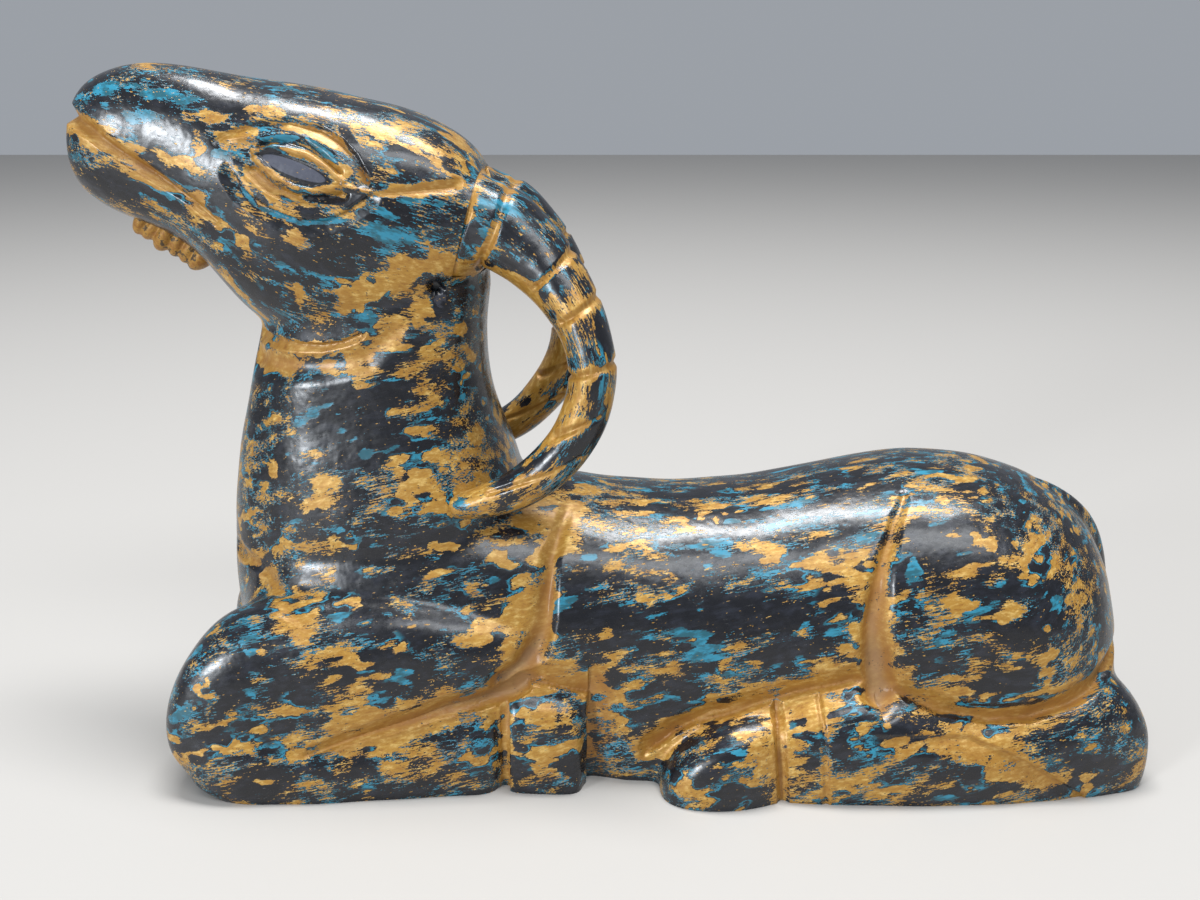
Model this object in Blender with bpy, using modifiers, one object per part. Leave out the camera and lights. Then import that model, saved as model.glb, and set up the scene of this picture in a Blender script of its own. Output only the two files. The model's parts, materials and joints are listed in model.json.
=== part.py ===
"""A lying ibex, carved from glued and dowelled blanks of light timber and lacquered.

The head points along -X, the hocks along +X, the animal's left side faces -Y and its flat
underside stands on Z = 0. The whole figure is first shaped as one carved form, as the carver
works the glued block, and is then parted at the glue planes of its blanks.
"""

import math

import bmesh
import bpy
from mathutils import Matrix, Vector

# Driving sizes, in metres.
LENGTH = 0.3555
GLUE_GAP = 0.0003

# The carver's pattern is drawn 355.5 units long: one unit is a millimetre at this LENGTH.
UNIT = LENGTH / 355.5

# Dowels: (radius, half length), in pattern units.
THICK_DOWEL = (4.0, 13.0)
LEG_DOWEL = (3.0, 10.0)
HORN_DOWEL = (4.0, 10.0)
TIP_PIN = (1.5, 4.0)
BEARD_PIN = (1.2, 4.0)
DOWEL_SIDES = 14

# Points closer than this many units are one point.
MERGE = 0.005

# Edges sharper than this stay crisp, the rest are shaded smooth.
CRISP_EDGE = math.radians(40)

# Mesh fineness.
SECTION_POINTS = 20
LIMB_POINTS = 10
FUSE_VOXEL = 2.2 * UNIT
FUSE_SMOOTHING = 9
FORM_TRIANGLES = 4800

SIDES = {"left": -1, "right": 1}

TIMBER = (0.052, 0.044, 0.040, 1.0)
GOLD = (0.42, 0.24, 0.07, 1.0)
DOWEL_WOOD = (0.55, 0.38, 0.22, 1.0)


# ---------------------------------------------------------------- start

for old in list(bpy.data.objects):
    bpy.data.objects.remove(old)

figure = bpy.data.collections.new("carved_ibex")
tooling = bpy.data.collections.new("cutters")
bpy.context.scene.collection.children.link(figure)
bpy.context.scene.collection.children.link(tooling)


# ---------------------------------------------------------------- materials and objects


def finish(name, colour, roughness):
    """A material with one colour and roughness."""
    material = bpy.data.materials.new(name)
    material.use_nodes = True
    shader = material.node_tree.nodes["Principled BSDF"]
    shader.inputs["Base Color"].default_value = colour
    shader.inputs["Roughness"].default_value = roughness
    shader.inputs["Metallic"].default_value = 0.0
    return material


def add_object(name, mesh, collection):
    """Links a new object that holds this mesh."""
    obj = bpy.data.objects.new(name, mesh)
    collection.objects.link(obj)
    if collection is tooling:
        obj.hide_render = True
        obj.display_type = "WIRE"
    return obj


def baked(obj, name):
    """A plain mesh of the object as its modifiers leave it."""
    bpy.context.view_layer.update()
    evaluated = obj.evaluated_get(bpy.context.evaluated_depsgraph_get())
    mesh = bpy.data.meshes.new_from_object(evaluated)
    mesh.name = name
    mesh.transform(obj.matrix_world)
    return mesh


def discard(obj):
    """Removes an object that was only a step towards another."""
    bpy.data.objects.remove(obj)


def boolean(obj, cutter, operation):
    """Adds an exact Boolean to the object."""
    cut = obj.modifiers.new(operation.lower(), "BOOLEAN")
    cut.object = cutter
    cut.operation = operation
    cut.solver = "EXACT"


# ---------------------------------------------------------------- lofts


def round_section(half_width, low, high, square, widest, count):
    """Points (across, up) of a rounded section, squarer for higher powers in square."""
    low_power, high_power = square
    centre = low + (high - low) * widest
    points = []
    for step in range(count):
        angle = 2 * math.pi * step / count
        cosine = math.cos(angle)
        sine = math.sin(angle)
        power = high_power if sine > 0 else low_power
        reach = (high - centre) if sine > 0 else (centre - low)
        across = half_width * math.copysign(abs(cosine) ** (2 / power), cosine)
        up = centre + reach * math.copysign(abs(sine) ** (2 / power), sine)
        points.append((across, up))
    return points


def loft(name, rings):
    """A closed solid through rings of points in pattern units, softened by subdivision."""
    shape = bmesh.new()
    loops = [[shape.verts.new(Vector(point) * UNIT) for point in ring] for ring in rings]
    for near, far in zip(loops, loops[1:]):
        for index in range(len(near)):
            after = (index + 1) % len(near)
            shape.faces.new((near[index], near[after], far[after], far[index]))
    shape.faces.new(loops[0])
    shape.faces.new(loops[-1])
    bmesh.ops.recalc_face_normals(shape, faces=shape.faces)
    mesh = bpy.data.meshes.new(name)
    shape.to_mesh(mesh)
    shape.free()
    obj = add_object(name, mesh, tooling)
    soft = obj.modifiers.new("soften", "SUBSURF")
    soft.levels = 1
    soft.render_levels = 1
    return obj


# ---------------------------------------------------------------- carved forms

# Forms that stand on the ground reach below it, so that the flat underside is sawn afterwards.
SUNK = -7

# (x, low, high, half width) from the chest to the rump.
TRUNK = (
    (-131, SUNK, 58, 20),
    (-128, SUNK, 70, 31),
    (-118, SUNK, 84, 40),
    (-100, SUNK, 95, 44),
    (-75, SUNK, 99, 46),
    (-50, SUNK, 99, 47),
    (-28, SUNK, 95.5, 47),
    (-8, SUNK, 91.5, 47),
    (15, SUNK, 89.5, 47.5),
    (38, SUNK, 90.5, 48),
    (60, SUNK, 94, 48.5),
    (80, SUNK, 99, 50),
    (98, SUNK, 101.5, 52),
    (114, SUNK, 101.5, 53),
    (130, SUNK, 99, 53),
    (144, SUNK, 94, 51),
    (156, SUNK, 86, 46),
    (163.5, SUNK, 77, 39),
    (169, SUNK, 62, 29),
    (171.2, SUNK, 46, 19),
)

# (z, front x, back x, half width) from the chest up to the jaw.
NECK = (
    (18, -130, -62, 36),
    (42, -134.5, -44, 42),
    (62, -135.5, -38, 43.5),
    (80, -134.5, -34, 43),
    (92, -133, -32, 41.5),
    (103, -131.5, -35, 39),
    (114, -129, -40, 35.5),
    (126, -126, -43.5, 33),
    (138, -122.5, -45, 31),
    (150, -119.5, -46.5, 30),
    (162, -116, -48, 29),
)

# (x, low, high, half width) from the lips to the crown.
HEAD = (
    (-176.4, 200, 209, 5),
    (-175.3, 195, 214, 9),
    (-172.8, 190.5, 221, 12.5),
    (-168.5, 186.5, 226.5, 15),
    (-161, 182.5, 230, 17),
    (-152, 180, 231.5, 19),
    (-142, 175, 231, 21),
    (-134, 167, 229.8, 23),
    (-127, 158, 228.5, 25),
    (-119, 148, 227, 27),
    (-108, 143, 225.5, 29.5),
    (-95, 141.5, 223.6, 31),
    (-82, 143, 221, 31.5),
    (-70, 147, 218.3, 31.5),
    (-59, 153, 213.8, 31),
    (-51, 159, 208.5, 30),
    (-46, 163, 203.5, 28),
    (-42, 168, 197, 22),
)

# (x, low, high, half width, centre y) of the left legs. The right ones mirror them.
UPPER_ARM = (
    (-150, 2, 27, 6, -41),
    (-148, SUNK, 35, 12, -41),
    (-142.5, SUNK, 46, 16, -40),
    (-134, SUNK, 56, 18, -39),
    (-122, SUNK, 62.5, 20, -37),
    (-104, SUNK, 66, 21, -35.5),
    (-84, 4, 67, 21, -35),
    (-64, 16, 67, 21, -33.5),
    (-46, 26, 64, 21, -31.5),
    (-32, 34, 60, 20, -30),
    (-23, 41, 54, 16, -30),
)
FORE_SHANK = (
    (-145, SUNK, 24, 9, -47),
    (-138, SUNK, 30, 16, -43.5),
    (-120, SUNK, 27, 19, -41),
    (-100, SUNK, 22.5, 20.5, -39),
    (-82, SUNK, 24, 20, -37.5),
    (-64, SUNK, 28.5, 19.5, -36),
    (-48, SUNK, 33, 19, -35.5),
    (-38, SUNK, 34.5, 18, -35),
)
FORE_HOOF = (
    (-39, SUNK, 32, 15, -36),
    (-36, SUNK, 35, 17.5, -36),
    (-24, SUNK, 34, 18, -36),
    (-14.5, SUNK, 32, 18, -36),
    (-12, SUNK, 29, 16, -36),
)
HIND_SHANK = (
    (48, SUNK, 27, 13, -44),
    (56, SUNK, 31, 17, -42),
    (68, SUNK, 37, 19.5, -41),
    (80, SUNK, 39.5, 20.5, -40.5),
    (94, SUNK, 35, 20.5, -40.5),
    (108, SUNK, 30.5, 20.5, -40),
    (124, SUNK, 28.5, 20, -39.5),
    (140, SUNK, 32, 19.5, -38.5),
    (154, SUNK, 39, 19, -37),
    (164, SUNK, 37, 17, -36.5),
    (172, SUNK, 29, 14, -37),
    (176.5, 4, 21, 8, -39),
)
HIND_HOOF = (
    (13, SUNK, 7, 5, -49),
    (16, SUNK, 13, 10, -49.5),
    (24, SUNK, 20, 13, -50),
    (34, SUNK, 25.5, 14, -50),
    (44, SUNK, 27.5, 13.5, -48.5),
    (52, SUNK, 28.5, 12.5, -45.5),
    (58, SUNK, 29, 12, -44),
)

LEG_FORMS = {
    "arm": UPPER_ARM,
    "fore_shank": FORE_SHANK,
    "fore_hoof": FORE_HOOF,
    "hind_shank": HIND_SHANK,
    "hind_hoof": HIND_HOOF,
}

# (x, y, z, half height, half width) of the tail strip, down the middle of the rump.
TAIL = (
    (143, 0, 92, 2, 3.5),
    (153, 0, 87.5, 3, 4.5),
    (162, 0, 80.5, 3.2, 5),
    (168, 0, 70, 3.2, 5),
    (171, 0, 58, 3, 4.5),
    (172, 0, 50, 2, 3),
)

# (x, y, z, half height, half width) of the left horn from inside the crown to its tip.
HORN = (
    (-64, -15, 187, 15, 13),
    (-49, -15.5, 185.5, 14.8, 13.3),
    (-38, -18, 181, 13.8, 13),
    (-28.5, -21.5, 174, 12, 12),
    (-20.5, -26, 166, 10.3, 11),
    (-14.2, -31, 157, 8.8, 10),
    (-10.4, -35.5, 147.5, 8, 9),
    (-9.2, -38, 138.5, 7.8, 8.5),
    (-10.6, -39, 129.5, 7.8, 8.2),
    (-14, -39.3, 121, 7.8, 8),
    (-19.5, -39, 113, 7.6, 7.6),
    (-26.5, -38.5, 106, 7.2, 7.2),
    (-35, -37.8, 100.5, 6.6, 6.6),
    (-44.5, -36.6, 96.8, 5.4, 5.6),
    (-53.5, -35, 94.2, 3.4, 4),
)

# The head's blank holds the horn's first stations.
HORN_STUB_STATIONS = 3

# The right horn hooks this much closer to the neck than the left one, where it is lowest.
RIGHT_HORN_TUCK = 8
TUCK_TOP = 186
TUCK_BOTTOM = 140

# Carved lines on each flank, as (x, z) points, half width and depth.
CARVED_LINES = {
    "mouth": (((-176, 214), (-159, 206), (-147, 197), (-136, 188), (-128, 182.5)), 2.6, 2.6),
    "jaw": (((-122, 146), (-109, 141.5), (-96, 140.5), (-84, 146), (-70, 157)), 4.0, 3.0),
    "shoulder": (((-17, 87), (-16, 80), (-18, 68), (-21, 56), (-28, 42), (-38, 33)), 4.5, 3.4),
    "elbow": (((-104, 20), (-88, 22), (-70, 28), (-54, 33.5), (-38, 38)), 4.5, 5.0),
    "flank": (((86, 93), (82, 82), (80.5, 68), (80.5, 50), (82, 40)), 5.0, 4.5),
    "thigh": (((38, 30), (58, 37), (80, 42), (98, 34), (123, 29), (142, 32), (160, 41)), 4.5, 3.6),
    "fore_fetlock": (((-37.5, 40), (-37, 18), (-37.5, -4)), 2.2, 1.8),
    "hind_fetlock": (((52, 32), (53, 16), (55, -4)), 2.2, 2.0),
}


# Glue planes, as (x, z) outlines of the blanks seen from the left side.
NECK_SEAT = 84
NECK_REAR = -18
HEAD_BLANK = ((-190, 132.9), (-38, 161.5), (-38, 166.5), (-53.3, 166.5), (-32.7, 240), (-190, 240))
NECK_BLANK = ((-190, NECK_SEAT), (NECK_REAR, NECK_SEAT), (NECK_REAR, 165.2), (-190, 132.9))
ABOVE_TRUNK = ((-250, NECK_SEAT), (NECK_REAR, NECK_SEAT), (NECK_REAR, 260), (-250, 260))
CROWN_BLOCK = ((-120, 120), (-66.4, 120), (-32.7, 240), (-120, 240))
FORELEG_BLANK = ((-190, -20), (-11.3, -20), (-11.3, 43), (-190, 68.5))
HINDLEG_BLANK = ((10.5, -20), (200, -20), (200, 34), (10.5, 34))
LEG_INNER = 30
LEG_OUTER = 90

# The beard: (x, y, z, half height, half width) under the chin, with one swell for each curl.
BEARD_FRONT = (-156.5, 181.5)
BEARD_BACK = (-136.5, 169.5)
BEARD_CURLS = 5
BEARD_THICK = (5.2, 7.4)
BEARD_WIDE = (5.2, 6.8)
BEARD_SEAT = ((-170, 192.3), (-126, 167.4), (-110, 200), (-150, 225))

# Dowels: name, centre and direction on the left side, in pattern units.
HEAD_TILT = Vector((-0.185, 0, 0.983))
HORN_AXIS = Vector((0.963, 0, -0.27))
CHIN_SQUARE = Vector((0.494, 0, 0.869))
UPRIGHT = Vector((0, 0, 1))
CROSSWISE = Vector((0, 1, 0))
MIDDLE_DOWELS = (
    ("neck_dowel_front", (-105, 0, NECK_SEAT), UPRIGHT, THICK_DOWEL),
    ("neck_dowel_rear", (-52, 0, NECK_SEAT), UPRIGHT, THICK_DOWEL),
    ("head_dowel_front", (-100, 0, 149.9), HEAD_TILT, THICK_DOWEL),
    ("head_dowel_rear", (-66, 0, 156.2), HEAD_TILT, THICK_DOWEL),
    ("beard_pin", (-147.5, 0, 179.5), CHIN_SQUARE, BEARD_PIN),
)
PAIRED_DOWELS = (
    ("horn_dowel", (-47.9, -15.4, 185.5), HORN_AXIS, HORN_DOWEL),
    ("horn_tip_pin", (-45, -33.5, 97), CROSSWISE, TIP_PIN),
    ("foreleg_dowel_front", (-118, -LEG_INNER, 28), CROSSWISE, LEG_DOWEL),
    ("foreleg_dowel_rear", (-62, -LEG_INNER, 36), CROSSWISE, LEG_DOWEL),
    ("hindleg_dowel_front", (80, -LEG_INNER, 18), CROSSWISE, LEG_DOWEL),
    ("hindleg_dowel_rear", (142, -LEG_INNER, 17), CROSSWISE, LEG_DOWEL),
)


# How square each section is: 2 is an ellipse, higher is boxier, for its lower and upper half.
SQUARE = {
    "trunk": (7, 2.35),
    "neck": (2.5, 2.7),
    "head": (2.3, 2.4),
    "arm": (3, 2.4),
    "fore_shank": (4, 2.6),
    "fore_hoof": (4, 4),
    "hind_shank": (4, 2.5),
    "hind_hoof": (4, 2.8),
    "limb": (2.2, 2.2),
}

# How far up the section its widest point is.
WIDEST = {"trunk": 0.42, "head": 0.5, "leg": 0.45}

# The throat side of the neck is this much narrower than the nape side.
THROAT_TAPER = 0.14

# The carved lines fade where the surface turns away from the side.
LEAST_FACING = 0.25

# Half the depth of a prism that reaches right across the figure, and the length of the saw table.
WIDE = 95
SAW_TABLE = ((-250, 0), (250, 0), (250, -60), (-250, -60))


def loft_along_x(name, stations, square, widest):
    """A form of upright sections. Stations are (x, low, high, half width, centre y)."""
    rings = []
    for x, low, high, half_width, centre in stations:
        section = round_section(half_width, low, high, square, widest, SECTION_POINTS)
        rings.append([(x, centre + across, up) for across, up in section])
    return loft(name, rings)


def mirrored(stations, side):
    """Leg stations for the wanted side, drawn for the left one."""
    return [(x, low, high, half, -side * centre) for x, low, high, half, centre in stations]


def centred(stations):
    """Stations of a form that sits on the middle plane."""
    return [(x, low, high, half, 0) for x, low, high, half in stations]


def neck_form():
    """A column of flat sections, narrower at the throat than at the nape."""
    rings = []
    for z, front, back, half_width in NECK:
        middle = (front + back) / 2
        reach = (back - front) / 2
        ring = []
        for across, along in round_section(1, -1, 1, SQUARE["neck"], 0.5, SECTION_POINTS):
            narrowing = 1 - THROAT_TAPER * (1 - along)
            ring.append((middle + reach * along, half_width * across * narrowing, z))
        rings.append(ring)
    return loft("neck_form", rings)


def horn_stations(side):
    """The horn's stations on its own side, with the right horn's tuck."""
    stations = []
    for x, y, z, tall, wide in HORN:
        drop = min(1, max(0, (TUCK_TOP - z) / (TUCK_TOP - TUCK_BOTTOM)))
        tuck = RIGHT_HORN_TUCK * drop if side == SIDES["right"] else 0
        stations.append((x - tuck, -side * y, z, tall, wide))
    return stations


def swept(name, stations, grow=0.0):
    """A tapering round limb along a path: each ring is square to the path."""
    centres = [Vector((x, y, z)) for x, y, z, tall, wide in stations]
    rings = []
    for index, (x, y, z, tall, wide) in enumerate(stations):
        ahead = centres[min(index + 1, len(centres) - 1)]
        behind = centres[max(index - 1, 0)]
        direction = (ahead - behind).normalized()
        across = direction.cross(Vector((0, 1, 0))).normalized()
        sideways = across.cross(direction).normalized()
        ring = []
        for reach_side, reach_up in round_section(1, -1, 1, SQUARE["limb"], 0.5, LIMB_POINTS):
            offset = across * ((tall + grow) * reach_up) + sideways * ((wide + grow) * reach_side)
            ring.append(centres[index] + offset)
        rings.append(ring)
    if grow:
        first = (centres[0] - centres[1]).normalized() * grow
        last = (centres[-1] - centres[-2]).normalized() * grow
        rings[0] = [point + first for point in rings[0]]
        rings[-1] = [point + last for point in rings[-1]]
    return loft(name, rings)


def near_line(point, line):
    """Distance from an (x, z) point to a line of (x, z) points."""
    best = 1e9
    for (x0, z0), (x1, z1) in zip(line, line[1:]):
        run = (x1 - x0, z1 - z0)
        share = ((point[0] - x0) * run[0] + (point[1] - z0) * run[1]) / (run[0] ** 2 + run[1] ** 2)
        share = min(1, max(0, share))
        gap = math.hypot(point[0] - x0 - share * run[0], point[1] - z0 - share * run[1])
        best = min(best, gap)
    return best


def carve_lines(mesh):
    """Presses the carved lines into both flanks, as V grooves that follow the surface."""
    sunk = {}
    for vertex in mesh.vertices:
        facing = abs(vertex.normal.y)
        spot = (vertex.co.x / UNIT, vertex.co.z / UNIT)
        depth = 0
        for line, half_width, full_depth in CARVED_LINES.values():
            reach = near_line(spot, line)
            depth = max(depth, full_depth * (1 - reach / half_width))
        if depth > 0 and facing > LEAST_FACING:
            sunk[vertex.index] = vertex.co - vertex.normal * (depth * min(1, 2 * facing) * UNIT)
    for index, place in sunk.items():
        mesh.vertices[index].co = place


def fuse(name, forms):
    """One closed skin around overlapping forms, carved and thinned to the wanted size."""
    gathered = bmesh.new()
    for form in forms:
        gathered.from_mesh(baked(form, form.name))
        discard(form)
    mesh = bpy.data.meshes.new(name)
    gathered.to_mesh(mesh)
    gathered.free()
    rough = add_object("rough_form", mesh, tooling)
    skin = rough.modifiers.new("skin", "REMESH")
    skin.mode = "VOXEL"
    skin.voxel_size = FUSE_VOXEL
    sanding = rough.modifiers.new("sanding", "SMOOTH")
    sanding.factor = 0.5
    sanding.iterations = FUSE_SMOOTHING
    carved = baked(rough, "carved")
    discard(rough)
    carve_lines(carved)
    obj = add_object(name, carved, tooling)
    thin = obj.modifiers.new("thin", "DECIMATE")
    thin.ratio = FORM_TRIANGLES / (2 * len(carved.polygons))
    result = add_object(name, baked(obj, name), tooling)
    discard(obj)
    return result


# ---------------------------------------------------------------- blanks and dowels


def offset_outline(outline, distance):
    """The (x, z) outline with every edge moved outwards by this distance."""
    area = sum(x0 * z1 - x1 * z0 for (x0, z0), (x1, z1) in zip(outline, outline[1:] + outline[:1]))
    turn = 1 if area > 0 else -1
    moved = []
    for index, corner in enumerate(outline):
        before = Vector(corner) - Vector(outline[index - 1])
        after = Vector(outline[(index + 1) % len(outline)]) - Vector(corner)
        square_before = Vector((before.y, -before.x)).normalized() * turn
        square_after = Vector((after.y, -after.x)).normalized() * turn
        shift = (square_before + square_after) / (1 + square_before.dot(square_after))
        moved.append(Vector(corner) + shift * distance)
    return moved


def blank(name, outline, near, far, grow):
    """A prism on an (x, z) outline from near to far along Y, grown or shrunk by part of the gap."""
    outline = offset_outline(list(outline), grow)
    shape = bmesh.new()
    walls = []
    for y in (near - grow, far + grow):
        walls.append([shape.verts.new(Vector((x, y, z)) * UNIT) for x, z in outline])
    count = len(outline)
    for index in range(count):
        after = (index + 1) % count
        shape.faces.new((walls[0][index], walls[0][after], walls[1][after], walls[1][index]))
    shape.faces.new(walls[0])
    shape.faces.new(walls[1])
    bmesh.ops.recalc_face_normals(shape, faces=shape.faces)
    mesh = bpy.data.meshes.new(name)
    shape.to_mesh(mesh)
    shape.free()
    return add_object(name, mesh, tooling)


def rod(name, centre, direction, radius, half_length, collection):
    """A dowel or a bore for one."""
    shape = bmesh.new()
    bmesh.ops.create_cone(
        shape,
        cap_ends=True,
        segments=DOWEL_SIDES,
        radius1=radius * UNIT,
        radius2=radius * UNIT,
        depth=2 * half_length * UNIT,
    )
    place = Matrix.Translation(Vector(centre) * UNIT)
    turn = UPRIGHT.rotation_difference(direction).to_matrix().to_4x4()
    shape.transform(place @ turn)
    mesh = bpy.data.meshes.new(name)
    shape.to_mesh(mesh)
    shape.free()
    mesh.shade_smooth()
    mesh.set_sharp_from_angle(angle=CRISP_EDGE)
    return add_object(name, mesh, collection)


def side_span(side, near, far):
    """The lower and upper y between two distances from the middle plane."""
    return min(side * near, side * far), max(side * near, side * far)


def part_off(name, source, steps, material):
    """A named piece: the source form cut by (cutter, operation) steps, one at a time."""
    work = add_object("work", source.data.copy(), tooling)
    for cutter, operation in steps:
        boolean(work, cutter, operation)
        cut = add_object("work", baked(work, "work"), tooling)
        discard(work)
        work = cut
    shape = bmesh.new()
    shape.from_mesh(work.data)
    discard(work)
    bmesh.ops.remove_doubles(shape, verts=shape.verts, dist=MERGE * UNIT)
    bmesh.ops.dissolve_degenerate(shape, edges=shape.edges, dist=MERGE * UNIT)
    mesh = bpy.data.meshes.new(name)
    shape.to_mesh(mesh)
    shape.free()
    mesh.shade_smooth()
    mesh.set_sharp_from_angle(angle=CRISP_EDGE)
    mesh.materials.clear()
    mesh.materials.append(material)
    return add_object(name, mesh, figure)


def beard_stations():
    """The strip under the chin, swelling once for each curl."""
    stations = []
    steps = 2 * BEARD_CURLS
    for step in range(steps + 1):
        share = step / steps
        swell = abs(math.sin(math.pi * share * BEARD_CURLS))
        tall = BEARD_THICK[0] + (BEARD_THICK[1] - BEARD_THICK[0]) * swell
        wide = BEARD_WIDE[0] + (BEARD_WIDE[1] - BEARD_WIDE[0]) * swell
        x = BEARD_FRONT[0] + (BEARD_BACK[0] - BEARD_FRONT[0]) * share
        z = BEARD_FRONT[1] + (BEARD_BACK[1] - BEARD_FRONT[1]) * share
        stations.append((x, 0, z, tall, wide))
    return stations


# ---------------------------------------------------------------- build the figure

lacquer = finish("black_lacquer", TIMBER, 0.25)
gold_rub = finish("gold_rub", GOLD, 0.4)
dowel_wood = finish("dowel_wood", DOWEL_WOOD, 0.6)

forms = [
    loft_along_x("trunk_form", centred(TRUNK), SQUARE["trunk"], WIDEST["trunk"]),
    neck_form(),
    loft_along_x("head_form", centred(HEAD), SQUARE["head"], WIDEST["head"]),
    swept("tail_form", TAIL),
]
for side_name, side in SIDES.items():
    for leg_part, stations in LEG_FORMS.items():
        name = f"{leg_part}_{side_name}"
        forms.append(loft_along_x(name, mirrored(stations, side), SQUARE[leg_part], WIDEST["leg"]))
    forms.append(swept(f"horn_stub_{side_name}", horn_stations(side)[:HORN_STUB_STATIONS]))
body = fuse("body_form", forms)

gap = GLUE_GAP / UNIT
half_gap = gap / 2
floor_cut = blank("floor_cut", SAW_TABLE, -WIDE, WIDE, 0)
body_on_floor = part_off("standing_form", body, [(floor_cut, "DIFFERENCE")], lacquer)
discard(body)

# Bores, each a little larger than its dowel.
bores = {}
dowels = list(MIDDLE_DOWELS)
for name, (x, y, z), direction, size in PAIRED_DOWELS:
    for side_name, side in SIDES.items():
        tuck = RIGHT_HORN_TUCK if (side == SIDES["right"] and name == "horn_tip_pin") else 0
        dowels.append((f"{name}_{side_name}", (x - tuck, -side * y, z), direction, size))
for name, centre, direction, (radius, half_length) in dowels:
    pin = rod(name, centre, direction, radius, half_length, figure)
    pin.data.materials.append(dowel_wood)
    bore = rod(f"{name}_bore", centre, direction, radius + gap, half_length + gap, tooling)
    bores[name] = (bore, "DIFFERENCE")

# Room for the horns where their tips are let into the neck.
horn_room = {}
for side_name, side in SIDES.items():
    horn_room[side_name] = swept(f"horn_room_{side_name}", horn_stations(side), gap)

head_blank = blank("head_blank", HEAD_BLANK, -WIDE, WIDE, -half_gap)
neck_blank = blank("neck_blank", NECK_BLANK, -WIDE, WIDE, -half_gap)
beard_seat = blank("beard_seat", BEARD_SEAT, -WIDE, WIDE, half_gap)
beard_room = swept("beard_room", beard_stations(), gap)
beard_bed = blank("beard_bed", BEARD_SEAT, -WIDE, WIDE, -half_gap)
boolean(beard_room, beard_bed, "DIFFERENCE")

beard_form = swept("beard_form", beard_stations())
beard_mesh = add_object("beard_mesh", baked(beard_form, "beard_form"), tooling)
discard(beard_form)
part_off("beard", beard_mesh, [(beard_seat, "DIFFERENCE"), bores["beard_pin"]], gold_rub)
discard(beard_mesh)

head_steps = [(head_blank, "INTERSECT"), (beard_room, "DIFFERENCE")]
head_bores = ("head_dowel_front", "head_dowel_rear", "horn_dowel_left", "horn_dowel_right", "beard_pin")
head_steps += [bores[name] for name in head_bores]
part_off("head", body_on_floor, head_steps, lacquer)

neck_steps = [(neck_blank, "INTERSECT")]
neck_steps += [(room, "DIFFERENCE") for room in horn_room.values()]
neck_bores = ("neck_dowel_front", "neck_dowel_rear", "head_dowel_front", "head_dowel_rear")
neck_steps += [bores[name] for name in neck_bores + ("horn_tip_pin_left", "horn_tip_pin_right")]
part_off("neck", body_on_floor, neck_steps, lacquer)

above = blank("above_trunk", ABOVE_TRUNK, -WIDE, WIDE, half_gap)
trunk_steps = [(above, "DIFFERENCE")]
for side_name, side in SIDES.items():
    near, far = side_span(side, LEG_INNER, LEG_OUTER)
    for leg, outline in (("foreleg", FORELEG_BLANK), ("hindleg", HINDLEG_BLANK)):
        room = blank(f"{leg}_room_{side_name}", outline, near, far, half_gap)
        trunk_steps.append((room, "DIFFERENCE"))
        leg_blank = blank(f"{leg}_blank_{side_name}", outline, near, far, -half_gap)
        leg_steps = [(leg_blank, "INTERSECT")]
        for place in ("front", "rear"):
            leg_steps.append(bores[f"{leg}_dowel_{place}_{side_name}"])
            trunk_steps.append(bores[f"{leg}_dowel_{place}_{side_name}"])
        part_off(f"{leg}_{side_name}", body_on_floor, leg_steps, lacquer)
trunk_steps += [bores["neck_dowel_front"], bores["neck_dowel_rear"]]
part_off("trunk", body_on_floor, trunk_steps, lacquer)

crown = blank("crown", CROWN_BLOCK, -WIDE, WIDE, half_gap)
for side_name, side in SIDES.items():
    horn_form = swept(f"horn_form_{side_name}", horn_stations(side))
    horn_mesh = add_object("horn_mesh", baked(horn_form, "horn_mesh"), tooling)
    discard(horn_form)
    horn_steps = [(crown, "DIFFERENCE")]
    horn_steps += [bores[f"horn_dowel_{side_name}"], bores[f"horn_tip_pin_{side_name}"]]
    part_off(f"horn_{side_name}", horn_mesh, horn_steps, lacquer)
    discard(horn_mesh)
discard(body_on_floor)
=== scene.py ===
# %% [markdown]
# # A lying ibex in rubbed lacquer
# The real figure is a hand-sized wood carving: blanks of light timber are dowelled and glued
# together, carved as one form, painted gold, teal and black in layers, and rubbed back until the
# lower colours show. This lesson builds it in the same order: the frame, the carved skin, the
# cuts, the parting into blanks, horns and beard, and the finish.

# %% Load the frame
import json
import math

import bmesh
import bpy
import numpy as np
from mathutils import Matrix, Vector, kdtree
from mathutils.bvhtree import BVHTree

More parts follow.
